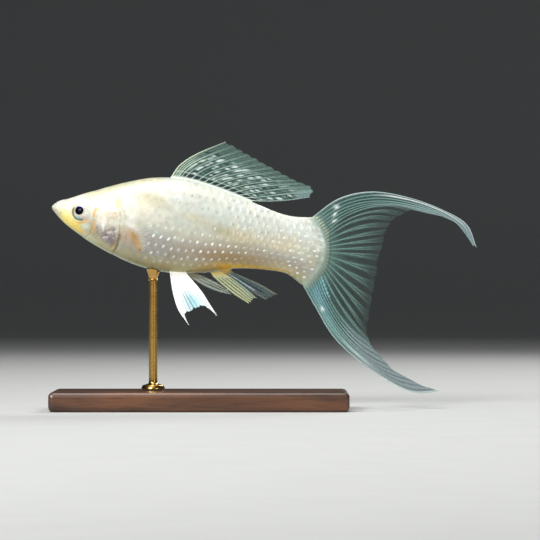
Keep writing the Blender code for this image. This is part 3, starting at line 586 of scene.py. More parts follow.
PECTORAL_GUIDES = [(0, [(21.1, -3.0), (23.9, -1.5), (27.4, -1.0), (31.5, -2.0)]),
                   (4, [(22.6, -4.8), (25.7, -4.8), (29.4, -5.2), (33.2, -6.0)]),
                   (8, [(23.7, -7.0), (25.5, -8.1), (27.6, -9.3), (29.6, -10.5)])]
PECTORAL_SPREAD = 1.6
PECTORAL_LOWEST = -5.0
PECTORAL_OFF = 0.8                  # the fin's middle stands this far off the flank at its root


def underside(x, y):
    """Height of the belly at station x, a distance y off the midline."""
    level = profile(WIDEST_LEVEL, x)
    side = np.minimum(np.abs(y) / profile(HALF_WIDTH, x), 1.0) ** (1 / profile(SIDE_POWER, x))
    return level - (level - profile(BELLY, x)) * np.sqrt(1 - side**2)


def back_root(start, _):
    """Dorsal rays start at the back."""
    return profile(BACK, start[..., 0]) + GAP


def belly_root(start, _):
    """Anal rays start at the belly."""
    return profile(BELLY, start[..., 0]) - GAP


def pelvic_root(start, _):
    """Pelvic rays start beside the belly's midline."""
    return underside(start[..., 0], PELVIC_ROOT_Y - 0.5) - GAP


def own_root(start, _):
    """Pectoral rays start where their guides say."""
    return start[..., 1]


def tail_root(start, ray):
    """Tail rays start on the bowed edge of the body."""
    up = np.clip(1 - 2 * ray / CAUDAL_LAST, -1.0, 1.0)
    edge = body(np.full(up.shape, BODY_END), np.arccos(up))
    height = (profile(BACK, BODY_END) - profile(BELLY, BODY_END)) / 2
    slope = 2 * TAIL_BULGE * up / height
    return np.stack((edge[..., 0] + GAP * np.sqrt(1 + slope**2), edge[..., 2]), axis=-1)


def fin_point(guides, root, ray, t):
    """(x, z) points of a fin at ray numbers and shares t from root to tip, of one shape."""
    numbers = np.array([guide[0] for guide in guides], float)
    k = np.clip(np.searchsorted(numbers, ray, side="right") - 1, 0, len(numbers) - 2)
    share = ((ray - numbers[k]) / (numbers[k + 1] - numbers[k]))[..., None]

    def between(places):
        lines = np.stack([smooth([(i / (len(path) - 1), *p) for i, p in enumerate(path)], places)
                          for _, path in guides])
        low = np.take_along_axis(lines, k[None, ..., None], axis=0)[0]
        high = np.take_along_axis(lines, k[None, ..., None] + 1, axis=0)[0]
        return low + (high - low) * share

    start = between(np.zeros_like(t))
    drawn = root(start, ray)
    if drawn.ndim < start.ndim:
        drawn = np.stack((start[..., 0], drawn), axis=-1)
    return between(t) + (drawn - start) * ((1 - t) ** 2)[..., None]


print("middle of the dorsal margin:", fin_point(DORSAL_GUIDES, back_root, np.array([6.5]),
                                                np.array([1.0])).round(1))

# %% [markdown]
# ## One skin
#
# The solids part the fish into head, gill covers, torso and tail. A real fish has one skin, so
# a single fine tube replaces them all. It could be sculpted or subdivided from the solids, but
# a grid of rings keeps its points in known places: every ring is a station, every column an
# angle round the body. The folds are then added as `relief`, a height along the surface's own
# normal: lips and the line between them, nostrils, the rim of the eye socket, the crease of the
# cheek, the free edge of the gill cover, the fleshy root of the pectoral fin and the low sheaths
# that the other fins rise from. Behind the last scales a thin sheath runs out over the tail rays.

# %% Places on the head, in millimetres
AROUND = 300
HEAD_RINGS, TRUNK_RINGS, SHEATH_RINGS = 200, 110, 14
HEAD_END = 19.2
SHEATH = 2.5                        # the skin runs this far out over the tail rays
SHEATH_EDGE = 0.13                  # half its thickness where it ends
EYE_AT, EYE_RADIUS, EYE_DEPTH, EYE_STANDS_OUT = (7.5, -0.38), 2.32, 1.5, 0.7
MOUTH_FRONT, MOUTH_CORNER, MOUTH_HALF_WIDTH = np.array((0.95, 1.15)), np.array((2.3, -0.7)), 2.1
MOUTH_RINGS = 100                   # rings that reach past the mouth's corners
NOSTRILS = [(3.0, 0.9, 0.20), (4.2, 1.7, 0.15)]
GILL_MIDDLE, GILL_HALF_LENGTH, GILL_END_LENGTH = 14.7, 3.4, 1.0
GILL_TOP, GILL_BOTTOM = math.radians(62), math.radians(156)
CHEEK_CREASE = [(11.4, 1.3), (11.3, -0.6), (11.3, -3.9), (10.9, -5.6), (9.6, -6.6)]
PECTORAL_BASE = [(21.0, -3.2), (22.2, -4.3), (23.1, -5.5), (23.9, -7.2)]
# where the coat of scales begins, by the angle from the back
COAT_FRONT = [(0, 9.8), (40, 11.4), (60, 15.2), (75, 18.9), (100, 19.9), (140, 18.9), (156, 17.8),
              (180, 16.8)]


def surface(x, z, side):
    """The point of the body at (x, z) on one side, and the way it faces there."""
    def spot(at_x, at_z):
        return np.array((at_x, side * float(flank(at_x, at_z)), at_z))
    along = spot(x + 0.05, z) - spot(x - 0.05, z)
    upward = spot(x, z + 0.05) - spot(x, z - 0.05)
    facing = np.cross(along, upward) * -side
    return spot(x, z), facing / np.linalg.norm(facing)


def grid_normals(points):
    """Outward normals of a grid of rings."""
    along = np.gradient(points, axis=0)
    across = np.roll(points, -1, axis=1) - np.roll(points, 1, axis=1)
    normals = np.cross(across, along)
    return normals / np.maximum(np.linalg.norm(normals, axis=-1, keepdims=True), 1e-12)


def tube(rings, places):
    """Points, faces and an unwrap of a closed tube of rings; places are the rings' u values."""
    count, around = rings.shape[:2]
    first, last = rings[0].mean(axis=0), rings[-1].mean(axis=0)
    points = np.concatenate((rings.reshape(-1, 3), [first, last]))
    r, c = [v.ravel() for v in np.mgrid[0:count - 1, 0:around]]
    after = (c + 1) % around
    quads = np.stack((r * around + c, r * around + after, (r + 1) * around + after,
                      (r + 1) * around + c), axis=1)
    u = np.stack((places[r], places[r], places[r + 1], places[r + 1]), axis=1)
    v = np.stack((c, c + 1, c + 1, c), axis=1) / around
    c = np.arange(around)
    after = (c + 1) % around
    tips = [np.stack((np.full(around, count * around), after, c), axis=1)]
    tips.append(np.stack((np.full(around, count * around + 1), (count - 1) * around + c,
                          (count - 1) * around + after), axis=1))
    unwrap = [np.stack((u, v), axis=-1).reshape(-1, 2)]
    for place, turned in ((places[0], (c + 0.5, c + 1, c)), (places[-1], (c + 0.5, c, c + 1))):
        v = np.stack(turned, axis=1) / around
        unwrap.append(np.stack((np.full(v.shape, place), v), axis=-1).reshape(-1, 2))
    faces = quads.tolist() + tips[0].tolist() + tips[1].tolist()
    return points, faces, np.concatenate(unwrap)


def coat_front(angle):
    """Station where the coat begins, at an angle round the body."""
    from_back = np.degrees(np.arccos(np.clip(np.cos(angle), -1, 1)))
    return smooth(COAT_FRONT, from_back)


print("eye:", surface(*EYE_AT, -1)[0].round(2))

# %% Rings from the snout out over the tail rays
def sheath_rings(angles, distances):
    """Rings that leave the body's end and follow the tail rays, thinning to the fin."""
    ray = np.broadcast_to((1 - np.cos(angles)) / 2 * CAUDAL_LAST, (len(distances), len(angles)))
    trial = np.linspace(0, 0.1, 12)[:, None] * np.ones(len(angles))
    traced = fin_point(CAUDAL_GUIDES, tail_root, np.broadcast_to(ray[0], trial.shape), trial)
    run = np.concatenate((np.zeros((1, len(angles))),
                          np.cumsum(np.linalg.norm(np.diff(traced, axis=0), axis=-1), axis=0)))
    reach = 0.6 + 0.4 * np.cos(math.pi * ray[0]) ** 2      # it runs further out along each ray
    t = np.array([[np.interp(d * reach[k], run[:, k], trial[:, k]) for k in range(len(angles))]
                  for d in distances])
    flat = fin_point(CAUDAL_GUIDES, tail_root, ray, t)
    swell = float(profile(HALF_WIDTH, BODY_END)) - SHEATH_EDGE
    thick = SHEATH_EDGE + (1 - distances / SHEATH)[:, None] ** 1.5 * swell
    side = np.abs(np.sin(angles)) ** float(profile(SIDE_POWER, BODY_END)) * -np.sign(np.sin(angles))
    return np.stack((flat[..., 0], thick * side, flat[..., 1]), axis=-1)


def body_rings(head_rings, trunk_rings, sheath_count, around):
    """The plain form as a grid of rings, with each ring's distance along the fish."""
    angles = np.arange(around) * 2 * math.pi / around
    stations = np.concatenate((np.linspace(0.14, math.sqrt(HEAD_END), head_rings) ** 2,
                               np.linspace(HEAD_END, BODY_END, trunk_rings + 1)[1:]))
    x, angle = np.meshgrid(stations, angles, indexing="ij")
    distances = np.linspace(0.15, SHEATH, sheath_count)
    rings = np.concatenate((body(x, angle), sheath_rings(angles, distances)))
    return rings, np.concatenate((stations, BODY_END + distances)), angles


FORM, PLACES, ANGLES = body_rings(HEAD_RINGS, TRUNK_RINGS, SHEATH_RINGS, AROUND)
FORM_NORMALS = grid_normals(FORM)
print("rings:", len(PLACES), "of", AROUND, "points")

# %% Relief of the head and the fin roots
def head_relief(points):
    """Heights of the mouth, nostrils and eye sockets over points of the head."""
    high = np.zeros(points.shape[:-1])
    turns = np.linspace(-math.pi / 2, math.pi / 2, 41)[:, None]
    line = MOUTH_CORNER + (MOUTH_FRONT - MOUTH_CORNER) * np.cos(turns)
    line = np.stack((line[:, 0], MOUTH_HALF_WIDTH * np.sin(turns[:, 0]), line[:, 1]), axis=-1)
    front = points[:MOUTH_RINGS]
    flat = front.reshape(-1, 3)
    line = np.array([flat[np.linalg.norm(flat - p, axis=1).argmin()] for p in line])
    away = line_distance(front, line)
    high[:MOUTH_RINGS] += 0.15 * hump(away - 0.30, 0.16) - 0.13 * hump(away, 0.085)
    crease = line_distance(front[..., (0, 2)], [(2.5, -0.9), (3.1, -1.7), (3.3, -2.6)])
    high[:MOUTH_RINGS] -= 0.05 * hump(crease, 0.14)
    for side in (-1, 1):
        for x, z, radius in NOSTRILS:
            away = np.linalg.norm(points - surface(x, z, side)[0], axis=-1)
            high += 0.06 * hump(away - 2 * radius, 0.12) - 0.26 * hump(away, radius)
        spot, facing = surface(*EYE_AT, side)
        offset = points - spot
        inward = offset @ facing
        away = np.linalg.norm(offset - inward[..., None] * facing, axis=-1)
        near = np.abs(inward) < 2.0
        high += near * (0.11 * hump(away - 2.36, 0.17) - 0.9 * (1 - ease(1.94, 2.18, away))
                        - 0.04 * hump(away - 2.80, 0.16))
    return high


def gill_relief(points, x, from_back):
    """Heights of the gill cover's flap, its open edge and the cheek's crease."""
    share = np.clip((2 * from_back - GILL_TOP - GILL_BOTTOM) / (GILL_BOTTOM - GILL_TOP), -1, 1)
    bulge = (1 - np.abs(share) ** 2.4) ** (1 / 2.4)
    half = GILL_END_LENGTH + (GILL_HALF_LENGTH - GILL_END_LENGTH) * bulge
    within = (x - GILL_MIDDLE + half) / (2 * half)
    ends = 1 - ease(0.90, 1.0, np.abs(share))
    low = ease(88, 122, np.degrees(from_back))         # the cover gapes only in its lower part
    flap = (0.03 + 0.37 * low) * np.clip(within, 0, 1) ** 1.6 * (within <= 1) * ends
    slit = (0.01 + 0.29 * low) * hump(x - GILL_MIDDLE - half - 0.15, 0.34) * (within > 1) * ends
    crease = line_distance(points[..., (0, 2)], CHEEK_CREASE)
    folds = 0.05 * np.sin((x * 0.55 + np.degrees(from_back) * 0.75)) * ease(148, 158, np.degrees(from_back))
    folds = folds * ease(8.0, 10.0, x) * (1 - ease(14.5, 16.5, x))
    return flap - slit - 0.11 * hump(crease, 0.17) + 0.05 * hump(crease - 0.4, 0.22) + folds


def root_relief(points):
    """Heights of the sheaths that the fins rise from, and of the vent."""
    x, y, z = points[..., 0], points[..., 1], points[..., 2]
    side = points[..., (0, 2)]
    high = 0.42 * hump(line_distance(side, PECTORAL_BASE), 0.66) * ease(-2.6, -4.4, z)
    top, bottom = z > 5.0, z < -5.0
    high += 0.46 * top * hump(y, 0.55) * ease(28.6, 29.8, x) * (1 - ease(50.2, 51.2, x))
    high += 0.50 * bottom * hump(y, 0.60) * ease(42.0, 42.9, x) * (1 - ease(47.3, 48.2, x))
    under = points[..., (0, 1)]
    for toward, start, end, rise in ((-1, 32.9, 36.0, 0.26), (1, 36.3, 38.4, 0.6)):
        line = [(start, toward * PELVIC_ROOT_Y), (end, toward * PELVIC_ROOT_Y)]
        high += rise * bottom * hump(line_distance(under, line), 0.75)
    high += 0.30 * bottom * hump(line_distance(under, [(40.6, 0.0), (41.2, 0.0)]), 0.5)
    return high


x_grid = np.broadcast_to(PLACES[:, None], FORM.shape[:2])
from_back = np.broadcast_to(np.arccos(np.clip(np.cos(ANGLES), -1, 1)), FORM.shape[:2])
RELIEF = gill_relief(FORM, x_grid, from_back) + root_relief(FORM)
RELIEF[:HEAD_RINGS] += head_relief(FORM[:HEAD_RINGS])
under_coat = ease(-1.0, 1.2, x_grid - coat_front(ANGLES))
under_coat = under_coat * (1 - ease(BODY_END - 0.5, BODY_END + 0.3, x_grid))
RELIEF -= COAT_DEPTH * under_coat
skin_rings = FORM + FORM_NORMALS * RELIEF[..., None]
points, faces, unwrap = tube(skin_rings, PLACES / (BODY_END + SHEATH))
beyond = np.append(np.repeat(PLACES, AROUND), PLACES[[0, -1]]) - BODY_END
tints = blend(paint(points), "#86a59c", 0.95 * ease(-0.2, 0.7, beyond))
tints = blend(tints, "#5b7d75", 0.90 * ease(0.6, 2.2, beyond))
skin = make_mesh("molly_skin", points, faces, SKIN, tints=tints, uv={"OFBake": unwrap},
                 numbers={"calm": ease(-1.0, 0.5, beyond)})
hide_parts("head", "torso", "tail", "gill_cover_left", "gill_cover_right")
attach(skin, "root")
print("skin:", len(faces), "faces")

# %% [markdown]
# ## A coat of scales
#
# Mollies carry about 26 scales along the side in some 12 rows a side, each row set half a scale
# behind its neighbours, like roof tiles. Modelling 600 scales one by one would be slow, and a
# bump pattern alone has no edges. Geometry Nodes do it well: one plate of 70 faces is set on a
# point for each scale, and every corner of it is then looked up on the body by its unwrapped
# place (Sample UV Surface), so that each plate bends with the flank under it. The front of a
# plate is sunk in the skin and its rounded rear edge stands proud, over the next two.

# %% One plate, and a point for each scale
SCALE_ROWS = 12                     # from the middle of the back to the middle of the belly
STEP_TRUNK, STEP_TAIL = 1.95, 1.50  # spacing of scales along a row
SCALE_LENGTH = 2.15                 # in steps, most of it covered
SCALE_HALF_WIDTH = 0.82             # in rows
ROW_DROP = 0.018                    # rows at mid height lie this share of the girth lower
ROW_SLOPE = 0.17                    # radians that rows at mid height sink towards the tail
PEARL_ROWS = {6: 0.5, 7: 1.5, 8: 1.4, 9: 1.0, 10: 0.35}     # brightness of the dots, row by row
UNWRAP_LENGTH = BODY_END + SHEATH
seeded = np.random.default_rng(26)


def scale_plate():
    """The template: its points only say how far along and across the plate they are."""
    turn = np.radians(np.linspace(-90, 90, 9))
    along = np.array([0.0, 0.45, 0.75, 1.0])[:, None] * (0.58 + 0.42 * np.cos(turn))
    across = np.broadcast_to(np.sin(turn), along.shape)
    grid = np.stack((along, across, np.ones_like(along)), axis=-1)
    points, faces = thin_plate(grid, grid * (1, 1, 0))
    part = np.tile(np.repeat([0.0, 0.45, 0.75, 1.0], len(turn)), 2)
    plate_map = np.stack((points[:, 1] / 2 + 0.5, part), axis=-1)
    return make_mesh("scale_plate", points, faces, uv={"plate": plate_map},
                     numbers={"along": points[:, 0], "across": points[:, 1], "top": points[:, 2]})


def scale_points():
    """A point for each scale, with its place on the unwrap, its span and its pigments."""
    ring = body(np.full(721, 30.0), np.linspace(0, math.pi, 721))
    run = np.append(0, np.cumsum(np.linalg.norm(np.diff(ring, axis=0), axis=1)))
    spaced = np.arange(SCALE_ROWS + 1) / SCALE_ROWS
    spaced = spaced + ROW_DROP * np.sin(math.pi * spaced)
    row_angles = np.interp(spaced * run[-1], run, np.linspace(0, math.pi, 721))
    half = SCALE_HALF_WIDTH * np.gradient(row_angles)
    rows = []
    for row in range(-SCALE_ROWS + 1, SCALE_ROWS + 1):
        angle = math.copysign(1, row) * row_angles[abs(row)]
        x = 8.0 + (STEP_TRUNK / 2 if row % 2 else 0.0)
        while x < BODY_END - 1.6:
            step = STEP_TRUNK + (STEP_TAIL - STEP_TRUNK) * float(ease(44, 62, x))
            if x > float(coat_front(angle)) - 0.6:
                slope = ROW_SLOPE * float(ease(22, 46, x))
                rows.append((x - 0.5 * step, angle + slope * math.sin(angle), SCALE_LENGTH * step,
                             half[abs(row)] * (1 + slope * math.cos(angle)), PEARL_ROWS.get(abs(row), 0.0)))
            x += step
    x, angle, length, half, bright = np.array(rows).T
    middle = body(x + 0.7 * length, angle)
    at, share = middle[:, 0], height_share(middle)
    pearl = bright * ease(23, 27, at) * (1 - 0.85 * ease(42, 52, at))
    pearl = pearl * seeded.uniform(0.30, 1.10, len(x))
    sparkle = seeded.random(len(x)) ** 3 * ease(34, 46, at) * ease(-0.8, -0.5, share) * (share < 0.5)
    pearl += 1.2 * sparkle + 0.9 * seeded.random(len(x)) * ease(59, 64, at)
    fleck = 0.55 * ease(0.30, 0.5, share) * ease(20, 30, at)
    fleck += 0.60 * ease(-0.7, -0.4, share) * (1 - ease(0.2, 0.4, share)) * ease(38, 46, at)
    fleck = fleck * (1 - ease(56, 61, at))
    rim_gain = -0.03 - 0.08 * ease(-0.2, -0.6, share) + 0.30 * ease(34, 50, at) * ease(-0.8, -0.4, share)
    numbers = {"root_u": x / UNWRAP_LENGTH, "root_v": angle / (2 * math.pi) % 1.0,
               "span_u": length / UNWRAP_LENGTH, "span_v": half / (2 * math.pi),
               "pearl": pearl, "fleck": fleck * seeded.uniform(0.1, 1.0, len(x)),
               "rim_gain": rim_gain * seeded.uniform(0.6, 1.4, len(x)),
               "light": seeded.uniform(0.965, 1.03, len(x)), "hue": seeded.uniform(-1, 1, len(x))}
    return make_mesh("scale_points", body(x, angle), [], numbers=numbers)


scale_roots = scale_points()
print("scales to place:", len(scale_roots.data.vertices))

# %% The tree that lays the coat
BAKE_PATCH = 0.003                  # width of a scale's patch in the bake, on an unwrap 1 across


def new_tree(name, **sockets):
    """A Geometry Nodes tree with named inputs, its input and its output."""
    tree = bpy.data.node_groups.new(name, "GeometryNodeTree")
    tree.interface.new_socket("Geometry", in_out="INPUT", socket_type="NodeSocketGeometry")
    for key, kind in sockets.items():
        tree.interface.new_socket(key.replace("_", " "), in_out="INPUT", socket_type="NodeSocket" + kind)
    tree.interface.new_socket("Geometry", in_out="OUTPUT", socket_type="NodeSocketGeometry")
    return tree, tree.nodes.new("NodeGroupInput").outputs


def run_tree(name, source, tree, **values):
    """Run a tree on an object and keep the result as a plain mesh object in its place."""
    change = source.modifiers.new(tree.name, "NODES")
    change.node_group = tree
    for socket in tree.interface.items_tree:
        key = socket.name.replace(" ", "_")
        if socket.in_out == "INPUT" and key in values:
            change[socket.identifier] = values[key]
    bpy.context.view_layer.update()
    evaluated = source.evaluated_get(bpy.context.evaluated_depsgraph_get())
    mesh = bpy.data.meshes.new_from_object(evaluated)
    mesh.name = name
    source.modifiers.clear()
    bpy.data.objects.remove(source)
    item = bpy.data.objects.new(name, mesh)
    bpy.context.scene.collection.objects.link(item)
    return item


def coat_tree():
    """Plates on points, bent over the body that they are looked up on."""
    tree, given = new_tree("scale_coat", Plate="Object", Body="Object", Sunk="Float", Rise="Float",
                           Thickness="Float", Droop="Float", Material="Material")
    plate = add(tree, "GeometryNodeObjectInfo", {"Object": given["Plate"]}).outputs["Geometry"]
    form = add(tree, "GeometryNodeObjectInfo", {"Object": given["Body"]}).outputs["Geometry"]
    set_out = add(tree, "GeometryNodeInstanceOnPoints", {"Points": given["Geometry"], "Instance": plate})
    real = add(tree, "GeometryNodeRealizeInstances", {"Geometry": set_out.outputs[0]}).outputs[0]
    read = {key: add(tree, "GeometryNodeInputNamedAttribute", {"Name": key}, data_type="FLOAT").outputs[0]
            for key in ("along", "across", "top", "root_u", "root_v", "span_u", "span_v")}
    lie = add(tree, "GeometryNodeInputNamedAttribute", {"Name": "lie"}, data_type="FLOAT_VECTOR").outputs[0]
    place, patch = [], []
    for part, span, root, size in (("along", "span_u", "root_u", BAKE_PATCH),
                                   ("across", "span_v", "root_v", BAKE_PATCH / 2)):
        for where, width in ((place, read[span]), (patch, size)):
            where.append(add(tree, "ShaderNodeMath", {0: read[part], 1: width, 2: read[root]},
                             operation="MULTIPLY_ADD").outputs[0])
    place[1] = add(tree, "ShaderNodeMath", {0: place[1]}, operation="FRACT").outputs[0]
    place, patch = [add(tree, "ShaderNodeCombineXYZ", {0: u, 1: v}).outputs[0] for u, v in (place, patch)]
    found = [add(tree, "GeometryNodeSampleUVSurface",
                 {"Mesh": form, "Value": add(tree, kind).outputs[0], "UV Map": lie, "Sample UV": place},
                 data_type="FLOAT_VECTOR").outputs[0]
             for kind in ("GeometryNodeInputPosition", "GeometryNodeInputNormal")]
    # height over the body: rising along the plate, its own thickness, less a droop to the sides
    droop = add(tree, "ShaderNodeMath", {0: read["across"], 1: read["across"]}, operation="MULTIPLY")
    height = given["Sunk"]
    for value, share in ((read["along"], given["Rise"]), (read["top"], given["Thickness"]),
                         (droop.outputs[0], given["Droop"])):
        height = add(tree, "ShaderNodeMath", {0: value, 1: share, 2: height},
                     operation="MULTIPLY_ADD").outputs[0]
    lift = add(tree, "ShaderNodeVectorMath", {0: found[1], "Scale": height}, operation="SCALE")
    spot = add(tree, "ShaderNodeVectorMath", {0: found[0], 1: lift.outputs[0]}, operation="ADD")
    laid = add(tree, "GeometryNodeSetPosition", {"Geometry": real, "Position": spot.outputs[0]})
    # for the bake, each scale is a small patch at its root's place on the body's unwrap
    baked = add(tree, "GeometryNodeStoreNamedAttribute",
                {"Geometry": laid.outputs[0], "Name": "OFBake", "Value": patch},
                data_type="FLOAT2", domain="CORNER")
    even = add(tree, "GeometryNodeSetShadeSmooth", {"Geometry": baked.outputs[0]}).outputs[0]
    done = add(tree, "GeometryNodeSetMaterial", {"Geometry": even, "Material": given["Material"]})
    add(tree, "NodeGroupOutput", {0: done.outputs[0]})
    return tree


scale_coat = coat_tree()
print("coat tree nodes:", len(scale_coat.nodes))

# %% Lay the coat and paint it
def mesh_points(item):
    """A mesh object's points, back in the fish's frame in millimetres."""
    flat = np.empty(len(item.data.vertices) * 3, np.float32)
    item.data.vertices.foreach_get("co", flat)
    placed = flat.reshape(-1, 3) / MM - SNOUT_AT
    c, s = math.cos(PITCH), math.sin(PITCH)
    return np.stack((placed[:, 0] * c - placed[:, 2] * s, placed[:, 1],
                     placed[:, 0] * s + placed[:, 2] * c), axis=-1)


def read_numbers(item, key):
    """A number stored on each point."""
    values = np.empty(len(item.data.vertices), np.float32)
    item.data.attributes[key].data.foreach_get("value", values)
    return values


rings, places, _ = body_rings(60, 90, 6, 96)
points, faces, unwrap = tube(rings, places / UNWRAP_LENGTH)
lie_of_scales = make_mesh("lie_of_scales", points, faces, uv={"lie": unwrap})
plate = scale_plate()
coat = run_tree("pearl_scales", scale_roots, scale_coat, Plate=plate, Body=lie_of_scales,
                Sunk=-0.10 * MM, Rise=0.105 * MM, Thickness=0.017 * MM, Droop=-0.008 * MM, Material=SCALE)
coat.data.set_sharp_from_angle(angle=math.radians(45))
for helper in (plate, lie_of_scales):
    bpy.data.objects.remove(helper)
tints = paint(mesh_points(coat)) * read_numbers(coat, "light")[:, None]
hue = read_numbers(coat, "hue")[:, None]
tints = tints * (1 + 0.02 * hue * np.array((1.0, -0.3, -1.0)))
layer = coat.data.attributes.new("tint", "FLOAT_COLOR", "POINT")
layer.data.foreach_set("color", np.append(tints, np.ones((len(tints), 1)), axis=1).ravel())
for key in ("root_u", "root_v", "span_u", "span_v", "along", "across", "top", "light"):
    coat.data.attributes.remove(coat.data.attributes[key])
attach(coat, "root")
print("coat:", len(coat.data.polygons), "faces, maps:", [m.name for m in coat.data.uv_layers])

# %% [markdown]
# ## Eyes
#
# The eye is a flattened ball, 4.5 mm across, that fills its socket and stands a little proud. In
# life a clear cornea lies over a silver iris, with a black pupil that sits up and forward of the
# middle. A separate glass shell would block the light that the iris needs, so one ball carries
# both: the iris is painted and streaked, and a smooth clear coat over it is the cornea. The
# pupil's edge is drawn from the ball's own map, so that it stays crisp at any distance.

# %% Eyes
PUPIL_AT, PUPIL_RADIUS = (-0.12, 0.42), 1.12        # in millimetres from the middle of the eye
PUPIL_SOFT = 0.04                   # half the width of its soft edge
IRIS_MAP = 10.0                     # the eye's own map is this many millimetres across


def eye_material():
    """Silver iris and black pupil under a wet, clear cornea."""
    material, tree, shader = new_material("silver_iris_under_cornea", Roughness=0.35, IOR=1.38,
                                          Specular_IOR_Level=0.05, Coat_Weight=0.12,
                                          Coat_Roughness=0.05, Coat_IOR=1.38)
    flat = add(tree, "ShaderNodeUVMap", uv_map="iris").outputs["UV"]
    from_pupil = add(tree, "ShaderNodeVectorMath",
                     {0: flat, 1: [-0.5 - part / IRIS_MAP for part in PUPIL_AT] + [0.0]},
                     operation="ADD").outputs[0]
    away = add(tree, "ShaderNodeVectorMath", {0: from_pupil}, operation="LENGTH").outputs["Value"]
    # streaks that run out from the pupil, about 60 round it
    across, up, _ = add(tree, "ShaderNodeSeparateXYZ", {0: from_pupil}).outputs
    turn = add(tree, "ShaderNodeMath", {0: up, 1: across}, operation="ARCTAN2").outputs[0]
    around = add(tree, "ShaderNodeCombineXYZ", {0: turn, 1: away}).outputs[0]
    streaks = add(tree, "ShaderNodeTexNoise", {"Vector": around, "Scale": 9.0, "Detail": 2.0})
    shade = add(tree, "ShaderNodeMapRange", {"Value": streaks.outputs["Fac"], "From Min": 0.35,
                                             "From Max": 0.65, "To Min": 0.86, "To Max": 1.06})
    tint = add(tree, "ShaderNodeAttribute", attribute_name="tint").outputs["Color"]
    iris = add(tree, "ShaderNodeVectorMath", {0: tint, "Scale": shade.outputs[0]}, operation="SCALE")
    # 1 inside the pupil
    pupil = add(tree, "ShaderNodeMapRange", {"Value": away, "From Min": (PUPIL_RADIUS + PUPIL_SOFT) / IRIS_MAP,
                                             "From Max": (PUPIL_RADIUS - PUPIL_SOFT) / IRIS_MAP})
    # the lens behind the pupil gleams deep blue along its top
    gleam = add(tree, "ShaderNodeMapRange", {"Value": up, "From Min": 0.045, "From Max": 0.105})
    dark = add(tree, "ShaderNodeMix", {"Factor": gleam.outputs[0], "A": colour("#040512"),
                                       "B": colour("#0c1c78")}, data_type="RGBA").outputs["Result"]
    mixed = add(tree, "ShaderNodeMix", {"Factor": pupil.outputs[0], "A": iris.outputs[0], "B": dark},
                data_type="RGBA").outputs["Result"]
    silver = add(tree, "ShaderNodeMapRange", {"Value": pupil.outputs[0], "To Min": 0.35, "To Max": 0.0})
    bump = add(tree, "ShaderNodeBump", {"Height": streaks.outputs["Fac"], "Strength": 0.25,
                                        "Distance": 0.00005})
    wire(tree, shader, Base_Color=mixed, Metallic=silver.outputs[0], Normal=bump.outputs[0])
    return material


def eye_ball(name, side, material):
    """A flattened ball in the socket, painted as an iris."""
    spot, out = surface(*EYE_AT, side)
    centre = spot + out * (EYE_STANDS_OUT - EYE_DEPTH)
    back = np.cross(out, (0.0, 0.0, 1.0)) * side
    back /= np.linalg.norm(back)
    up = np.cross(back, out) * side
    lean = np.linspace(0.02, math.pi - 0.02, 60)[:, None]
    turn = np.linspace(0, 2 * math.pi, 97)[:-1] * side
    across = EYE_RADIUS * np.sin(lean) * np.cos(turn)
    high = EYE_RADIUS * np.sin(lean) * np.sin(turn)
    deep = EYE_DEPTH * np.cos(lean) * np.ones_like(turn)
    rings = centre + across[..., None] * back + high[..., None] * up + deep[..., None] * out
    points, faces, _ = tube(rings, np.zeros(len(lean)))
    flat = np.append(np.stack((across, high), axis=-1).reshape(-1, 2), np.zeros((2, 2)), axis=0)
    x, z = flat[:, 0], flat[:, 1]
    radius = np.hypot(x, z)
    made = np.broadcast_to(np.array(colour("#dfe1dc")[:3]), (len(x), 3))
    made = blend(made, "#f8f8f3", ease(-0.6, 0.8, x + z))
    made = blend(made, "#8b8d7c", ease(1.35, 1.75, radius) * ease(0.2, 1.2, -x - z))
    made = blend(made, "#79b9ad", 0.75 * hump(np.hypot(x + 0.1, z + 1.55), 0.5))
    made = blend(made, "#d9ab9c", 0.6 * hump(np.hypot(x - 1.1, z + 1.15), 0.5))
    made = blend(made, "#d6cb90", 0.7 * hump(np.hypot(x - PUPIL_AT[0], z - PUPIL_AT[1]) - 1.32, 0.17))
    made = blend(made, "#5f5e55", 0.85 * ease(2.02, 2.16, radius) * ease(0.9, -0.6, z))
    item = make_mesh(name, points, faces, material, tints=made, uv={"iris": flat / IRIS_MAP + 0.5})
    return item


IRIS = eye_material()
for word, toward in (("left", -1), ("right", 1)):
    ball = eye_ball("molly_eye_" + word, toward, IRIS)
    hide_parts("eye_" + word)
    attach(ball, "root")
    print(ball.name, len(ball.data.polygons), "faces")

# %% [markdown]
# ## Fins
#
# A fin is web and rays. The web is modelled as one thin closed plate per fin, fine enough to
# hold its markings point by point: the see-through windows along the foot of the dorsal fin,
# the white dashes above them, the milky bands on the tail rays and the clear gaps between. Each
# fin has a short function that says how it looks at a place in it, given as the ray number, the
# millimetres run from the root, and the share of the way out. One table then holds what differs
# from fin to fin, and one loop makes them all.

# %% How each fin looks
DASHES = np.random.default_rng(14).uniform(-1, 1, (14, 8, 4))
CAUDAL_FORKS, CAUDAL_FANS = (0.22, 0.55), (0.19, 0.09)      # where the tail rays fork, and how far


def look(shape, text, cover):
    """An even tint and cover to start from."""
    return np.broadcast_to(np.array(colour(text)[:3]), (*shape, 3)), np.full(shape, cover)


def layer_on(made, text, strength, cover=None):
    """Lay a colour over a look, and move its cover towards another by the same strength."""
    tint, amount = made
    strength = np.clip(strength, 0, 1)
    return blend(tint, text, strength), amount if cover is None else amount + (cover - amount) * strength


def lay(made, layers):
    """Lay one colour after another over a look: each is a colour, its strength and its cover."""
    for layer in layers:
        made = layer_on(made, *layer)
    return made


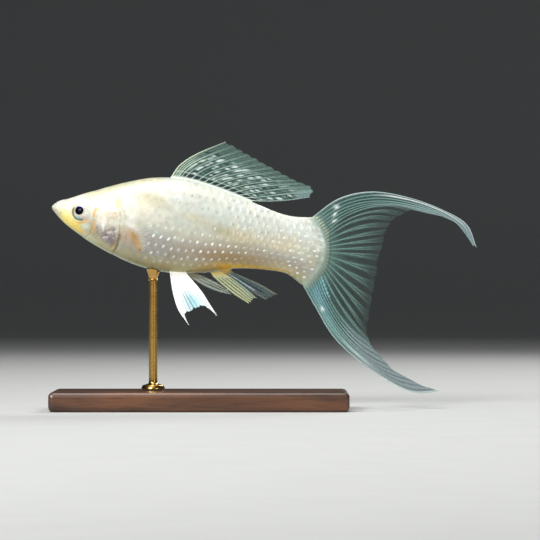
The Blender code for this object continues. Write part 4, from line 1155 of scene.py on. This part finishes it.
def off_ray(ray, t, forks=(1.0, 1.0), fans=(0.0, 0.0)):
    """Distance, in ray numbers, from the nearest ray or branch of a ray."""
    off = np.abs((ray + 0.5) % 1 - 0.5)
    return np.abs(off - fans[0] * np.maximum((t - forks[0]) / max(1 - forks[0], 0.01), 0) ** 0.8)


def stripes(ray, per_ray):
    """Fine lines that run out along a fin, so many to each ray: 1 on a line, 0 between."""
    return 0.5 + 0.5 * np.cos(2 * math.pi * per_ray * ray)


def dorsal_look(ray, run, t):
    """Sea-green web with windows at its foot, white dashes above them and a faint outer band."""
    made = look(ray.shape, "#5b8878", 0.34)
    cell = np.floor(ray)
    middle = ray - cell - 0.5
    made = layer_on(made, "#a9c6be", 0.75 * hump(np.abs(middle) - 0.5, 0.10), 0.58)
    made = layer_on(made, "#689788", ease(0.74, 0.90, t), 0.22)
    made = layer_on(made, "#a9c9bf", 0.40 * stripes(ray, 2.0) ** 2 * ease(0.45, 0.65, t), 0.5)
    made = layer_on(made, "#e9f1ea", 0.9 * hump(run, 0.6) + 0.6 * hump(run - 2.7, 0.30), 0.85)
    window = np.hypot(middle / 0.38, (run - 1.55) / 0.95)
    made = layer_on(made, "#28494a", (1 - ease(0.75, 1.1, window)) * (cell > 0), 0.22)
    for row in range(8):
        draw = DASHES[np.clip(cell, 0, 13).astype(int), row]
        centre = 3.5 + 1.62 * row + 0.80 * (cell % 2) + 0.4 * draw[..., 0]
        length, width = 0.85 + 0.55 * draw[..., 2], 0.26 + 0.08 * draw[..., 3]
        dash = np.hypot((middle - 0.16 * draw[..., 1]) / width, (run - centre) / length)
        strength = (0.15 + 0.85 * ease(-0.9, 0.5, draw[..., 3])) * (1 - ease(0.72, 0.84, t))
        strength = strength * ease(0.8, 1.6, ray)
        between = np.hypot(middle / 0.36, (run - centre - 0.82) / 0.36)
        made = layer_on(made, "#2c5650", 0.85 * (1 - ease(0.6, 1.2, between)) * (t < 0.8), 0.26)
        made = layer_on(made, "#dce9e4", 0.95 * strength * (1 - ease(0.35, 1.25, dash)), 0.92)
    for at_ray, at_run in ((5.5, 4.2), (8.4, 3.3), (9.5, 4.6), (10.5, 3.0), (7.5, 6.3)):
        spot = hump(np.hypot((ray - at_ray) * 1.5, run - at_run), 0.42)
        made = layer_on(made, "#5a6420", 0.9 * spot, 0.85)
    made = layer_on(made, "#b9d8d8", 0.6 * ease(10.8, 12.0, ray) * ease(0.68, 0.86, t), 0.55)
    front = sum(hump(ray - at, 0.075) for at in (0.40, 0.70, 1.0, 1.4)) * (1 - ease(8.0, 13.0, run))
    made = layer_on(made, "#d3e6cf", front, 0.85)
    return layer_on(made, "#cfdabb", 0.9 * hump(ray, 0.20) * (1 - 0.6 * ease(0.6, 1.0, t)), 0.9)


def caudal_look(ray, run, t):
    """Blue-grey lobes, milky bands on the middle rays, clear gaps between them, and painted glints."""
    off = off_ray(ray, t, CAUDAL_FORKS, CAUDAL_FANS)
    lobe = np.maximum(1 - ease(4.2, 6.6, ray), ease(18.5, 21.5, ray))
    streak = 0.9 * hump(ray - 0.9, 0.34) * ease(0.30, 0.45, t) * (1 - ease(0.62, 0.92, t))
    streak += 0.7 * hump(ray - 25.5, 0.40) * ease(0.36, 0.48, t) * (1 - ease(0.54, 0.70, t))
    painted_joint_glints = hump(ray - 20.0, 0.30) + 0.7 * hump(ray - 21.0, 0.25) + 0.35 * hump(ray - 19.0, 0.22)
    # in turn: ray bands, lobes, gaps and tips, white streaks and edges, haze at the root, blue patches, and
    # painted glints in dashes along the lower rays near the root
    made = lay(look(ray.shape, "#4f6f69", 0.12), [
        ("#6f998c", 1 - ease(0.09, 0.20, off), 0.52 - 0.45 * ease(0.35, 1.0, t)),
        ("#6c9a92", 0.85 * lobe, 0.56),
        ("#36544f", 0.8 * lobe * ease(0.22, 0.40, np.abs((ray + 0.5) % 1 - 0.5))
         * (1 - ease(0.55, 0.85, t)), 0.30),
        ("#82999c", lobe * ease(0.50, 0.90, t), 0.78),
        ("#5f6f71", ease(18.5, 21.5, ray) * ease(0.45, 0.80, t), 0.93),
        ("#c0d2d4", 0.55 * lobe * hump(off, 0.12) * ease(0.40, 0.60, t), 0.85),
        ("#fbfefe", 0.95 * streak, 0.96),
        ("#d3e2e0", 0.7 * (hump(ray, 0.25) + hump(ray - CAUDAL_LAST, 0.25)), 0.85),
        ("#64887f", 0.65 * hump(run, 6.0), 0.55),
        ("#75968e", 0.80 * hump(run, 3.0), 0.90),
        ("#7db6c6", 0.7 * hump(ray - 24.0, 2.4) * hump(run - 6.0, 5.0), 0.75),
        ("#8fbcb8", 0.75 * hump(ray - 25.4, 1.9) * hump(run - 13.5, 8.0), 0.86),
        ("#a8f2fa", 0.88 * painted_joint_glints * ease(0.4, 1.2, run) * (1 - ease(5.8, 7.0, run))
         * (0.15 + 0.85 * np.cos(math.pi * run / 0.9) ** 2), 0.92)])
    # painted highlights: small white glints on both lobes
    for at_ray, at_run, wide in ((1.5, 6.0, 0.70), (3.2, 4.9, 0.50), (5.0, 4.1, 0.50), (25.0, 9.8, 0.7)):
        spot = hump((ray - at_ray) / wide, 1.0) * hump(run - at_run, 0.65)
        made = layer_on(made, "#f4fdfd", 0.95 * spot, 0.95)
    return made


def anal_look(ray, run, t):
    """A cream lobe of fine lines in front, a smoky one behind it, and a dark slit between."""
    rear = ease(3.4, 3.8, ray)
    lines = stripes(ray, 1.5) * ease(0.15, 0.35, t)
    # in turn: the smoky lobe, lines, slits and streaks, the dark slit between the lobes, the gold root
    return lay(look(ray.shape, "#bfc999", 0.76), [
        ("#6c8080", rear, 0.44),
        ("#5a6048", 0.75 * (1 - rear) * lines ** 2, 0.55),
        ("#e6e8c4", 0.6 * (1 - rear) * (1 - lines) ** 3, 0.9),
        ("#9ab6a6", 0.7 * hump(ray - 2.8, 0.5) * ease(0.3, 0.5, t), 0.7),
        ("#3b4a50", 0.5 * rear * stripes(ray, 1.0) ** 2 * ease(0.2, 0.4, t), 0.40),
        ("#1d2b3a", 0.85 * hump(ray - 5.9, 0.42) * ease(0.28, 0.4, t) * (1 - ease(0.75, 0.9, t)), 0.6),
        ("#c2d4de", 0.9 * hump(ray - 5.0, 0.26) * ease(0.10, 0.25, t) * (1 - ease(0.6, 0.8, t)), 0.9),
        ("#a58a78", 0.7 * hump(ray - 4.3, 0.16) * ease(0.6, 0.75, t), 0.8),
        ("#a3a78e", 0.7 * hump(ray - 8.0, 0.5) * ease(0.2, 0.4, t), 0.7),
        ("#1a2226", hump(ray - 3.6, 0.30) * ease(0.20, 0.4, t), 0.03),
        ("#d0a845", 0.85 * hump(run, 1.9), 0.92)])


def pelvic_left_look(ray, run, t):
    """Opaque bluish white, with a clear cyan middle of fine lines towards the margin."""
    middle = hump((ray - 2.9) / 1.2, 1.0) * ease(0.50, 0.85, t)
    lines = stripes(ray, 2.0) ** 6 * hump((ray - 2.4) / 0.9, 1.0) * ease(0.55, 0.70, t)
    return lay(look(ray.shape, "#fbfdfc", 0.99), [
        ("#a2e0e8", 0.85 * middle, 0.9),
        ("#0f5560", 0.9 * lines, 0.9),
        ("#ece2cc", 0.5 * hump(run, 0.9))])


def pelvic_right_look(ray, run, t):
    """A folded, see-through blade with two dark slits towards its tip."""
    lines = stripes(ray, 0.6)
    slit = hump(ray - 2.2, 0.16) * ease(0.45, 0.55, t) * (1 - ease(0.75, 0.85, t))
    slit += hump(ray - 3.3, 0.14) * ease(0.68, 0.76, t) * (1 - ease(0.92, 0.98, t))
    return lay(look(ray.shape, "#c0cabc", 0.66), [
        ("#5c7072", 0.6 * lines ** 2 * ease(0.15, 0.4, t), 0.5),
        ("#d3dcc9", 0.5 * (1 - lines) ** 3, 0.80),
        ("#1d282a", slit, 0.15),
        ("#c3b48a", 0.8 * hump(run, 2.4), 0.92)])


def pectoral_look(ray, run, t):
    """Almost clear, with faint milky rays."""
    patchy = 0.86 + 0.14 * np.sin(2.3 * ray + 2.0 * run)
    return lay(look(ray.shape, "#a9bfc6", 0.04), [
        ("#d5e4e8", 0.8 * hump(off_ray(ray, t), 0.16), 0.09),
        ("#d2a04c", 0.95 * patchy * hump(run, 1.5) * ease(0.2, 2.2, ray), 0.80)])


print("looks: dorsal, caudal, anal, two pelvic, pectoral")

# %% Where each fin's middle lies
def flat_place(point, ray, t):
    """A fin on the midline, with a slow ripple."""
    ripple = 0.22 * t**2 * np.sin(ray * 0.9)
    return np.stack((point[..., 0], ripple, point[..., 1]), axis=-1)


def tail_place(point, ray, t):
    """The tail fin sways to one side towards its far end, with a slight ripple."""
    share = np.maximum(0.0, (point[..., 0] - BODY_END) / CAUDAL_REACH)
    ripple = 0.28 * t * np.sin(ray * 0.8 + 0.6) * (1 - share)
    return np.stack((point[..., 0], CAUDAL_SWAY * share**2 + ripple, point[..., 1]), axis=-1)


def pelvic_place(side):
    """A pelvic fin hangs from beside the midline and splays outwards."""
    def place(point, ray, t):
        out = PELVIC_ROOT_Y + PELVIC_SPREAD * np.maximum(t, 0) ** 1.3 + 0.12 * t * np.sin(ray * 1.7)
        return np.stack((point[..., 0], side * out, point[..., 1]), axis=-1)
    return place


def pectoral_place(side):
    """A pectoral fin lies back along the flank and lifts off it towards its tip."""
    def place(point, ray, t):
        wide = flank(point[..., 0], np.maximum(point[..., 1], PECTORAL_LOWEST))
        out = wide + PECTORAL_OFF + PECTORAL_SPREAD * t + 0.10 * t * np.sin(ray * 1.4)
        return np.stack((point[..., 0], side * out, point[..., 1]), axis=-1)
    return place


# name, nodes it replaces, guides, root, place, look, last ray, web and ray thickness at root and
# margin, where rays branch, how far they fan, and by how many millimetres the margin is notched
FINS = [
    ("dorsal", ["dorsal_fin"], DORSAL_GUIDES, back_root, flat_place, dorsal_look, 13,
     (0.32, 0.09), (0.15, 0.045), (0.50, 0.76), (0.17, 0.08), 0.22),
    ("caudal", ["caudal_fin_upper", "caudal_fin_middle", "caudal_fin_lower"], CAUDAL_GUIDES, tail_root,
     tail_place, caudal_look, CAUDAL_LAST, (0.36, 0.08), (0.17, 0.045), CAUDAL_FORKS, CAUDAL_FANS, 0.26),
    ("anal", ["anal_fin"], ANAL_GUIDES, belly_root, flat_place, anal_look, 8,
     (0.34, 0.09), (0.17, 0.05), (0.45, 0.72), (0.17, 0.08), 0.35),
    ("pelvic_left", ["pelvic_fin_left"], PELVIC_LEFT_GUIDES, pelvic_root, pelvic_place(-1),
     pelvic_left_look, 5, (0.34, 0.10), (0.22, 0.07), (0.40, 0.70), (0.18, 0.08), 0.28),
    ("pelvic_right", ["pelvic_fin_right"], PELVIC_RIGHT_GUIDES, pelvic_root, pelvic_place(1),
     pelvic_right_look, 5, (0.34, 0.10), (0.17, 0.05), (0.40, 0.70), (0.18, 0.08), 0.20),
    ("pectoral_left", ["pectoral_fin_left"], PECTORAL_GUIDES, own_root, pectoral_place(-1),
     pectoral_look, 8, (0.24, 0.07), (0.09, 0.03), (0.35, 0.66), (0.17, 0.08), 0.25),
    ("pectoral_right", ["pectoral_fin_right"], PECTORAL_GUIDES, own_root, pectoral_place(1),
     pectoral_look, 8, (0.24, 0.07), (0.09, 0.03), (0.35, 0.66), (0.17, 0.08), 0.25)]
print("fins:", [fin[0] for fin in FINS])

# %% Webs
WEB_COLUMNS, RAY_COLUMNS = 260, 16  # columns over a whole fin, and at most from ray to ray
WEB_STEP = 0.28                     # millimetres from row to row
SUNK = 0.55                         # fins start this far inside the skin


def ray_lengths(guides, root, last):
    """The length of each ray in millimetres, at whole ray numbers."""
    ray, t = np.mgrid[0:last + 1, 0:1:41j]
    path = fin_point(guides, root, ray.astype(float), t)
    return np.linalg.norm(np.diff(path, axis=1), axis=-1).sum(axis=1)


def sunk(points):
    """Lines of points with one more before the first, a little way back inside the body."""
    back = points[..., 0, :] - points[..., 1, :]
    back = back / np.maximum(np.linalg.norm(back, axis=-1, keepdims=True), 1e-9)
    return np.concatenate(((points[..., 0, :] + back * SUNK)[..., None, :], points), axis=-2)


def seen_once(cover):
    """The alpha of each of a plate's two faces that together cover this much."""
    return 1 - np.sqrt(1 - np.clip(cover, 0.0, 0.995))


def outward(item):
    """Turn a closed mesh's faces outwards."""
    work = bmesh.new()
    work.from_mesh(item.data)
    bmesh.ops.recalc_face_normals(work, faces=work.faces)
    work.to_mesh(item.data)
    work.free()


def make_web(name, guides, root, place, looks, last, thick, notch, reach):
    """The web of a fin as one thin closed plate."""
    lengths = ray_lengths(guides, root, last)
    rays = np.linspace(0, last, last * min(WEB_COLUMNS // last, RAY_COLUMNS) + 1)
    steps = int(lengths.max() / WEB_STEP)
    length = np.interp(rays, np.arange(last + 1), lengths)
    margin = np.interp(rays, np.arange(last + 1), reach)
    margin = margin - notch / length * np.sin(math.pi * (rays % 1)) ** 2
    t = np.linspace(0, 1, steps) * margin[:, None]
    ray = np.broadcast_to(rays[:, None], t.shape)
    centre = sunk(place(fin_point(guides, root, ray, t), ray, t))
    tint, cover = looks(ray, length[:, None] * t, t)
    tint = np.concatenate((tint[:, :1], tint), axis=1)
    cover = np.concatenate((cover[:, :1], cover), axis=1)
    half = np.concatenate((t[:, :1], t), axis=1)
    half = (thick[0] + (thick[1] - thick[0]) * half ** 0.6)[..., None] / 2 * np.array((0, 1, 0))
    points, faces = thin_plate(centre - half, centre + half)
    tints = np.tile(tint.reshape(-1, 3), (2, 1))
    item = make_mesh(name, points, faces, MEMBRANE, tints=tints,
                     numbers={"cover": np.tile(seen_once(cover).ravel(), 2)})
    outward(item)
    return item


REACH = {}
for name, nodes, guides, root, place, looks, last, web, rod, forks, fans, notch in FINS:
    uneven = np.random.default_rng(len(name) + last).normal(0, 0.10, last + 1)     # in millimetres
    REACH[name] = 1 + uneven / ray_lengths(guides, root, last)
    web_item = make_web(name + "_web", guides, root, place, looks, last, web, notch, REACH[name] - 0.006)
    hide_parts(*nodes)
    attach(web_item, "root")
    print(web_item.name, len(web_item.data.polygons), "faces")

# %% [markdown]
# ## Fin rays
#
# Every soft ray is a stack of bony segments that forks, and forks again, towards the margin. The
# lines of all the rays of one fin are laid out as points and edges, each point with its radius
# and its run in millimetres. A Geometry Nodes tree makes rods of them: Mesh to Curve strings the
# edges together, and Curve to Mesh sweeps a circle along, scaled by the stored radius.

# %% The rod tree
def rod_tree():
    """Sweeps a circle along every line of edges, scaled by the radius stored on its points."""
    tree, given = new_tree("rods_along_rays", Sides="Int", Thickness="Float", Material="Material")
    lines = add(tree, "GeometryNodeMeshToCurve", {"Mesh": given["Geometry"]}).outputs[0]
    circle = add(tree, "GeometryNodeCurvePrimitiveCircle", {"Resolution": given["Sides"], "Radius": 1.0})
    stored = add(tree, "GeometryNodeInputNamedAttribute", {"Name": "radius_mm"}, data_type="FLOAT")
    radius = add(tree, "ShaderNodeMath", {0: stored.outputs[0], 1: given["Thickness"]},
                 operation="MULTIPLY")
    swept = add(tree, "GeometryNodeCurveToMesh", {"Curve": lines, "Profile Curve": circle.outputs[0],
                                                  "Scale": radius.outputs[0], "Fill Caps": True})
    even = add(tree, "GeometryNodeSetShadeSmooth", {"Geometry": swept.outputs[0]}).outputs[0]
    real = add(tree, "GeometryNodeRealizeInstances", {"Geometry": even}).outputs[0]
    done = add(tree, "GeometryNodeSetMaterial", {"Geometry": real, "Material": given["Material"]})
    add(tree, "NodeGroupOutput", {0: done.outputs[0]})
    return tree


rods = rod_tree()
print("rod tree nodes:", len(rods.nodes))

# %% Rods for every fin
ROD_STEP = 0.5                      # millimetres between the points of a rod
JOINT_SHIFT = 0.37                  # from ray to ray, so that the joints don't line up
LEAST_GAIN = -0.15                  # down here a rod takes the colour of the web beside it
# the colour of each fin's rays, and how much more they cover than the web beside them; less on
# the small fins, whose fine branches would turn into a grid in the picture
RAY_LOOKS = {"dorsal": ("#c9dcd5", 0.30), "caudal": ("#9db3ad", 0.24), "anal": ("#c9cbaa", -0.45),
             "pelvic_left": ("#fbfdfd", 0.30), "pelvic_right": ("#b9c6b8", -0.50),
             "pectoral_left": ("#c9d6d8", -0.05), "pectoral_right": ("#c9d6d8", -0.05)}


def ray_lines(last, lengths, reach, forks, fans):
    """The lines of a fin's rays as arrays of ray number, share and branch level."""
    first_fork, second_fork = forks
    for ray in range(last + 1):
        top = reach[ray] + 0.003
        plain = ray in (0, last)
        stems = [(0.0, top if plain else first_fork, 0, 0)]
        if not plain:
            stems += [(first_fork, second_fork, side, 0) for side in (-1, 1)]
            stems += [(second_fork, top, side, twin) for side in (-1, 1) for twin in (-1, 1)]
        for level, (start, end, side, twin) in enumerate(stems):
            count = max(5, int((end - start) * lengths[ray] / ROD_STEP))
            t = np.linspace(start, end, count)
            spread = fans[0] * side * np.maximum((t - first_fork) / (1 - first_fork), 0) ** 0.8
            spread += fans[1] * twin * np.maximum((t - second_fork) / (1 - second_fork), 0) ** 0.8
            yield np.clip(ray + spread, 0, last), t, (1.0, 0.8, 0.64)[(level > 0) + (level > 2)]


def make_rods(name, guides, root, place, looks, last, rod, forks, fans, reach, ray_look):
    """All the rays of a fin as rods of bone."""
    lengths = ray_lengths(guides, root, last)
    points, edges, radii, runs, tints, covers = [], [], [], [], [], []
    total = 0
    for ray, t, share in ray_lines(last, lengths, reach, forks, fans):
        line = place(fin_point(guides, root, ray, t), ray, t)
        if t[0] == 0:
            line, ray, t = sunk(line), np.append(ray[0], ray), np.append(0.0, t)
        run = np.interp(ray, np.arange(last + 1), lengths) * t
        below, cover = looks(ray, run, t)
        points.append(line)
        edges += [(total + k, total + k + 1) for k in range(len(t) - 1)]
        radii.append((rod[0] + (rod[1] - rod[0]) * t ** 0.7) * share)
        runs.append(run + JOINT_SHIFT * ray)
        paler = 0.15 + max(ray_look[1], LEAST_GAIN)
        tints.append(blend(below, ray_look[0], np.full(len(t), paler)))
        covers.append(np.clip(cover + ray_look[1] * (1 - 0.6 * ease(0.7, 1.0, t)), 0.0, 1.0))
        total += len(t)
    source = make_mesh(name + "_lines", np.concatenate(points), [], tints=np.concatenate(tints),
                       numbers={"radius_mm": np.concatenate(radii), "run": np.concatenate(runs),
                                "cover": np.concatenate(covers)})
    source.data.edges.add(len(edges))
    source.data.edges.foreach_set("vertices", np.array(edges, np.int32).ravel())
    return run_tree(name, source, rods, Sides=6, Thickness=MM, Material=RAY_BONE)


for name, nodes, guides, root, place, looks, last, web, rod, forks, fans, notch in FINS:
    rays = make_rods(name + "_rays", guides, root, place, looks, last, rod, forks, fans, REACH[name],
                     RAY_LOOKS[name])
    rays.data.attributes.remove(rays.data.attributes["radius_mm"])
    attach(rays, "root")
    print(rays.name, len(rays.data.polygons), "faces")

# %% [markdown]
# ## The stand
#
# The fish swims free in life, so the model rests on a thin turned rod over a flat base. The base
# keeps its CAD mesh, whose eased edges are right, and gets dark walnut under satin varnish. The
# rod is turned again with finer steps, from the same sizes, in lacquered brass: a foot with a
# bead, a slim shaft, and a cup whose rim follows the belly.

# %% Wood and brass
def walnut_material():
    """Dark walnut: long growth bands, fine pores, satin varnish."""
    material, tree, shader = new_material("varnished_walnut", IOR=1.5, Coat_Weight=0.35,
                                          Coat_Roughness=0.22, Coat_IOR=1.5)
    place = add(tree, "ShaderNodeTexCoord").outputs["Object"]
    # growth bands about 3 mm apart across the board and drawn out along it
    long = add(tree, "ShaderNodeMapping", {"Vector": place, "Scale": (0.09, 1.0, 0.6),
                                           "Location": (0.0, 0.03, 0.01)}).outputs[0]
    figure = add(tree, "ShaderNodeTexNoise", {"Vector": long, "Scale": 330.0, "Detail": 5.0,
                                              "Distortion": 0.6})
    bands = add(tree, "ShaderNodeValToRGB", {"Fac": figure.outputs["Fac"]})
    bands.color_ramp.elements[0].position = 0.36
    bands.color_ramp.elements[0].color = colour("#2e1a10")
    bands.color_ramp.elements[1].position = 0.66
    bands.color_ramp.elements[1].color = colour("#6b4329")
    # pores 0.3 mm wide and some 5 mm long
    fine = add(tree, "ShaderNodeMapping", {"Vector": place, "Scale": (0.06, 1.0, 1.0)}).outputs[0]
    pores = add(tree, "ShaderNodeTexNoise", {"Vector": fine, "Scale": 3200.0, "Detail": 2.0})
    dark = add(tree, "ShaderNodeMapRange", {"Value": pores.outputs["Fac"], "From Min": 0.30,
                                            "From Max": 0.45, "To Min": 0.55, "To Max": 1.0})
    toned = add(tree, "ShaderNodeVectorMath", {0: bands.outputs[0], "Scale": dark.outputs[0]},
                operation="SCALE")
    rough = add(tree, "ShaderNodeMapRange", {"Value": figure.outputs["Fac"], "To Min": 0.42,
                                             "To Max": 0.30})
    bump = add(tree, "ShaderNodeBump", {"Height": dark.outputs[0], "Strength": 0.25,
                                        "Distance": 0.00006})
    wire(tree, shader, Base_Color=toned.outputs[0], Roughness=rough.outputs[0], Normal=bump.outputs[0])
    return material


def brass_material():
    """Turned brass: fine rings left by the tool, and a warm lacquer."""
    material, tree, shader = new_material("lacquered_brass", Metallic=1.0, Coat_Weight=0.4,
                                          Coat_Roughness=0.08, Coat_IOR=1.5)
    place = add(tree, "ShaderNodeTexCoord").outputs["Object"]
    # tool marks are some 0.05 mm apart; drawn 0.25 mm apart so that they show
    marks = add(tree, "ShaderNodeMapping", {"Vector": place, "Scale": (0.02, 0.02, 1.0)}).outputs[0]
    turned = add(tree, "ShaderNodeTexNoise", {"Vector": marks, "Scale": 4000.0, "Detail": 1.0})
    warm = add(tree, "ShaderNodeTexNoise", {"Vector": place, "Scale": 300.0, "Detail": 2.0})
    tone = add(tree, "ShaderNodeMix", {"Factor": warm.outputs["Fac"], "A": colour("#e0b96a"),
                                       "B": colour("#b98a3c")}, data_type="RGBA").outputs["Result"]
    rough = add(tree, "ShaderNodeMapRange", {"Value": turned.outputs["Fac"], "To Min": 0.16,
                                             "To Max": 0.34})
    bump = add(tree, "ShaderNodeBump", {"Height": turned.outputs["Fac"], "Strength": 0.15,
                                        "Distance": 0.00004})
    wire(tree, shader, Base_Color=tone, Roughness=rough.outputs[0], Normal=bump.outputs[0])
    return material


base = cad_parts["stand_base"]
base.data.materials.clear()
base.data.materials.append(walnut_material())

# %% The turned rod
ROD_AT, ROD_RADIUS, ROD_FOOT, ROD_FOOT_HEIGHT = -12.0, 1.1, 3.0, 1.4
CUP_RADIUS, CUP_HEIGHT, BASE_TOP = 1.7, 2.2, 5.0


def belly_over(x, y):
    """World height of the fish's belly over points of the stand, in millimetres."""
    station = (x - SNOUT_AT[0]) / math.cos(PITCH)
    for _ in range(8):
        low = underside(station, y)
        spot = to_world(np.stack((station, y, low), axis=-1)) / MM
        station = station + x - spot[..., 0]
    return spot[..., 2]


def turned_rod():
    """Rings of the rod from its foot to the rim of its cup, in world millimetres."""
    floor = BASE_TOP + GAP
    cup = float(belly_over(np.array(ROD_AT), np.array(0.0))) - CUP_HEIGHT
    bead = np.linspace(0, math.pi / 2, 6)
    outline = [(ROD_FOOT - 0.15, floor), (ROD_FOOT, floor + 0.12), (ROD_FOOT, floor + 0.55)]
    outline += [(ROD_FOOT * 0.78 + 0.45 * math.cos(a), floor + 0.75 + 0.4 * math.sin(a)) for a in bead]
    outline += [(ROD_RADIUS + 0.5 * (1 - math.sin(a)), floor + ROD_FOOT_HEIGHT + 0.5 * (1 - math.cos(a)))
                for a in bead]
    outline += [(ROD_RADIUS, floor + 3.0 + k * (cup - 0.6 - floor - 3.0) / 6) for k in range(7)]
    outline += [(ROD_RADIUS + 0.22 * math.sin(a), cup - 0.5 + 0.5 * a / math.pi) for a in bead * 2]
    turn = np.arange(64) * 2 * math.pi / 64
    circle = np.stack((np.cos(turn), np.sin(turn)), axis=-1)
    rings = [np.column_stack((circle * radius + (ROD_AT, 0), np.full(64, z))) for radius, z in outline]
    for share in np.linspace(0.15, 1.0, 6):
        radius = ROD_RADIUS + (CUP_RADIUS - ROD_RADIUS) * share ** 1.5
        flat = circle * radius + (ROD_AT, 0)
        rim = belly_over(flat[:, 0], flat[:, 1]) - GAP
        rings.append(np.column_stack((flat, cup + (rim - cup) * share)))
    inside = circle * (CUP_RADIUS - 0.35) + (ROD_AT, 0)
    rings.append(np.column_stack((inside, belly_over(inside[:, 0], inside[:, 1]) - GAP)))
    return np.array(rings)


rings = turned_rod()
points, faces, _ = tube(rings, np.zeros(len(rings)))
rod = make_mesh("brass_rod", points, faces, brass_material())
rod.data.vertices.foreach_set("co", (points * MM).astype(np.float32).ravel())
outward(rod)
rod.data.set_sharp_from_angle(angle=math.radians(50))
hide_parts("stand_rod")
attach(rod, "root")
print("rod:", len(rod.data.polygons), "faces")

# %% [markdown]
# ## The studio
#
# The fish stands on a pale floor that curves up far away on all sides, so that every view
# has a clean ground. The softboxes hang close, so their light falls away with distance. The floor's
# colour is also painted darker from half a metre out, as painted shade, so the far floor goes
# quietly dark. That is what lets a white fish and clear fins be seen. The camera looks straight
# at the left side from 1 m, through a long lens that takes in 138 mm.

# %% Floor, light and camera
CAMERA_AT = (0.01792, -1.0, 0.03584)
VIEW_WIDTH = 0.13824                # of the fish's plane, across the picture
SENSOR = 36.0


def studio_floor():
    """A round floor whose edge sweeps up into a wall."""
    sweep = np.linspace(0, math.pi / 2, 13)[1:]
    outline = [(r, 0.0) for r in (0.05, 0.2, 0.6, 1.1)]
    outline += [(1.1 + 0.5 * math.sin(a), 0.5 - 0.5 * math.cos(a)) for a in sweep] + [(1.6, 2.2)]
    turn = np.arange(96) * 2 * math.pi / 96
    rings = [np.column_stack((r * np.cos(turn), r * np.sin(turn), np.full(96, z))) for r, z in outline]
    points = np.array(rings).reshape(-1, 3)
    faces = [(r * 96 + c, (r + 1) * 96 + c, (r + 1) * 96 + (c + 1) % 96, r * 96 + (c + 1) % 96)
             for r in range(len(rings) - 1) for c in range(96)]
    material, tree, shader = new_material("matt_studio_floor", Roughness=0.9)
    place = add(tree, "ShaderNodeTexCoord").outputs["Object"]
    grain = add(tree, "ShaderNodeTexNoise", {"Vector": place, "Scale": 60.0, "Detail": 3.0})
    pale = add(tree, "ShaderNodeMix", {"Factor": grain.outputs["Fac"], "A": colour("#c2c3c1"),
                                       "B": colour("#cbccca")}, data_type="RGBA").outputs["Result"]
    # painted shade: the floor is painted darker from 0.5 to 1.3 m away from the model, where the light falls
    # away
    away = add(tree, "ShaderNodeVectorMath", {0: place}, operation="LENGTH").outputs["Value"]
    far = add(tree, "ShaderNodeMapRange", {"Value": away, "From Min": 0.5, "From Max": 1.3},
              interpolation_type="SMOOTHSTEP").outputs[0]
    tone = add(tree, "ShaderNodeMix", {"Factor": far, "A": pale, "B": colour("#77797a")},
               data_type="RGBA").outputs["Result"]
    wire(tree, shader, Base_Color=tone)
    floor = make_mesh("studio_floor", points, [tuple(range(96)), *faces], material)
    floor.data.vertices.foreach_set("co", points.astype(np.float32).ravel())
    return floor


def softbox(name, place, target, size, power, spread):
    """A square area light that faces a point, with a grid that narrows its beam."""
    light = bpy.data.lights.new(name, "AREA")
    light.size = size
    light.energy = power
    light.spread = math.radians(spread)
    item = bpy.data.objects.new(name, light)
    item.location = place
    item.rotation_euler = (Vector(target) - Vector(place)).to_track_quat("-Z", "Y").to_euler()
    item.visible_camera = False
    bpy.context.scene.collection.objects.link(item)


studio_floor()
softbox("top_softbox", (-0.08, -0.22, 0.75), (0.0, 0.0, 0.045), 0.45, 2.7, 150)
softbox("front_softbox", (-0.45, -0.85, 0.50), (0.01, 0.0, 0.045), 0.28, 2.9, 100)
softbox("rim_softbox", (0.35, 0.55, 0.50), (0.01, 0.0, 0.045), 0.35, 1.5, 120)
softbox("fill_softbox", (0.60, -0.75, 0.25), (0.01, 0.0, 0.045), 0.35, 0.22, 90)
world = bpy.data.worlds.new("studio_air")
world.use_nodes = True
world.node_tree.nodes["Background"].inputs["Color"].default_value = colour("#c9ced0")
world.node_tree.nodes["Background"].inputs["Strength"].default_value = 0.16
bpy.context.scene.world = world

lens = bpy.data.cameras.new("side_camera")
lens.sensor_width = SENSOR
lens.lens = SENSOR * -CAMERA_AT[1] / VIEW_WIDTH
lens.clip_start = 0.01
camera = bpy.data.objects.new("side_camera", lens)
camera.location = CAMERA_AT
camera.rotation_euler = (math.radians(90), 0.0, 0.0)
bpy.context.scene.collection.objects.link(camera)
bpy.context.scene.camera = camera
bpy.context.scene.view_settings.view_transform = "Standard"
print("lens:", round(lens.lens, 1), "mm")
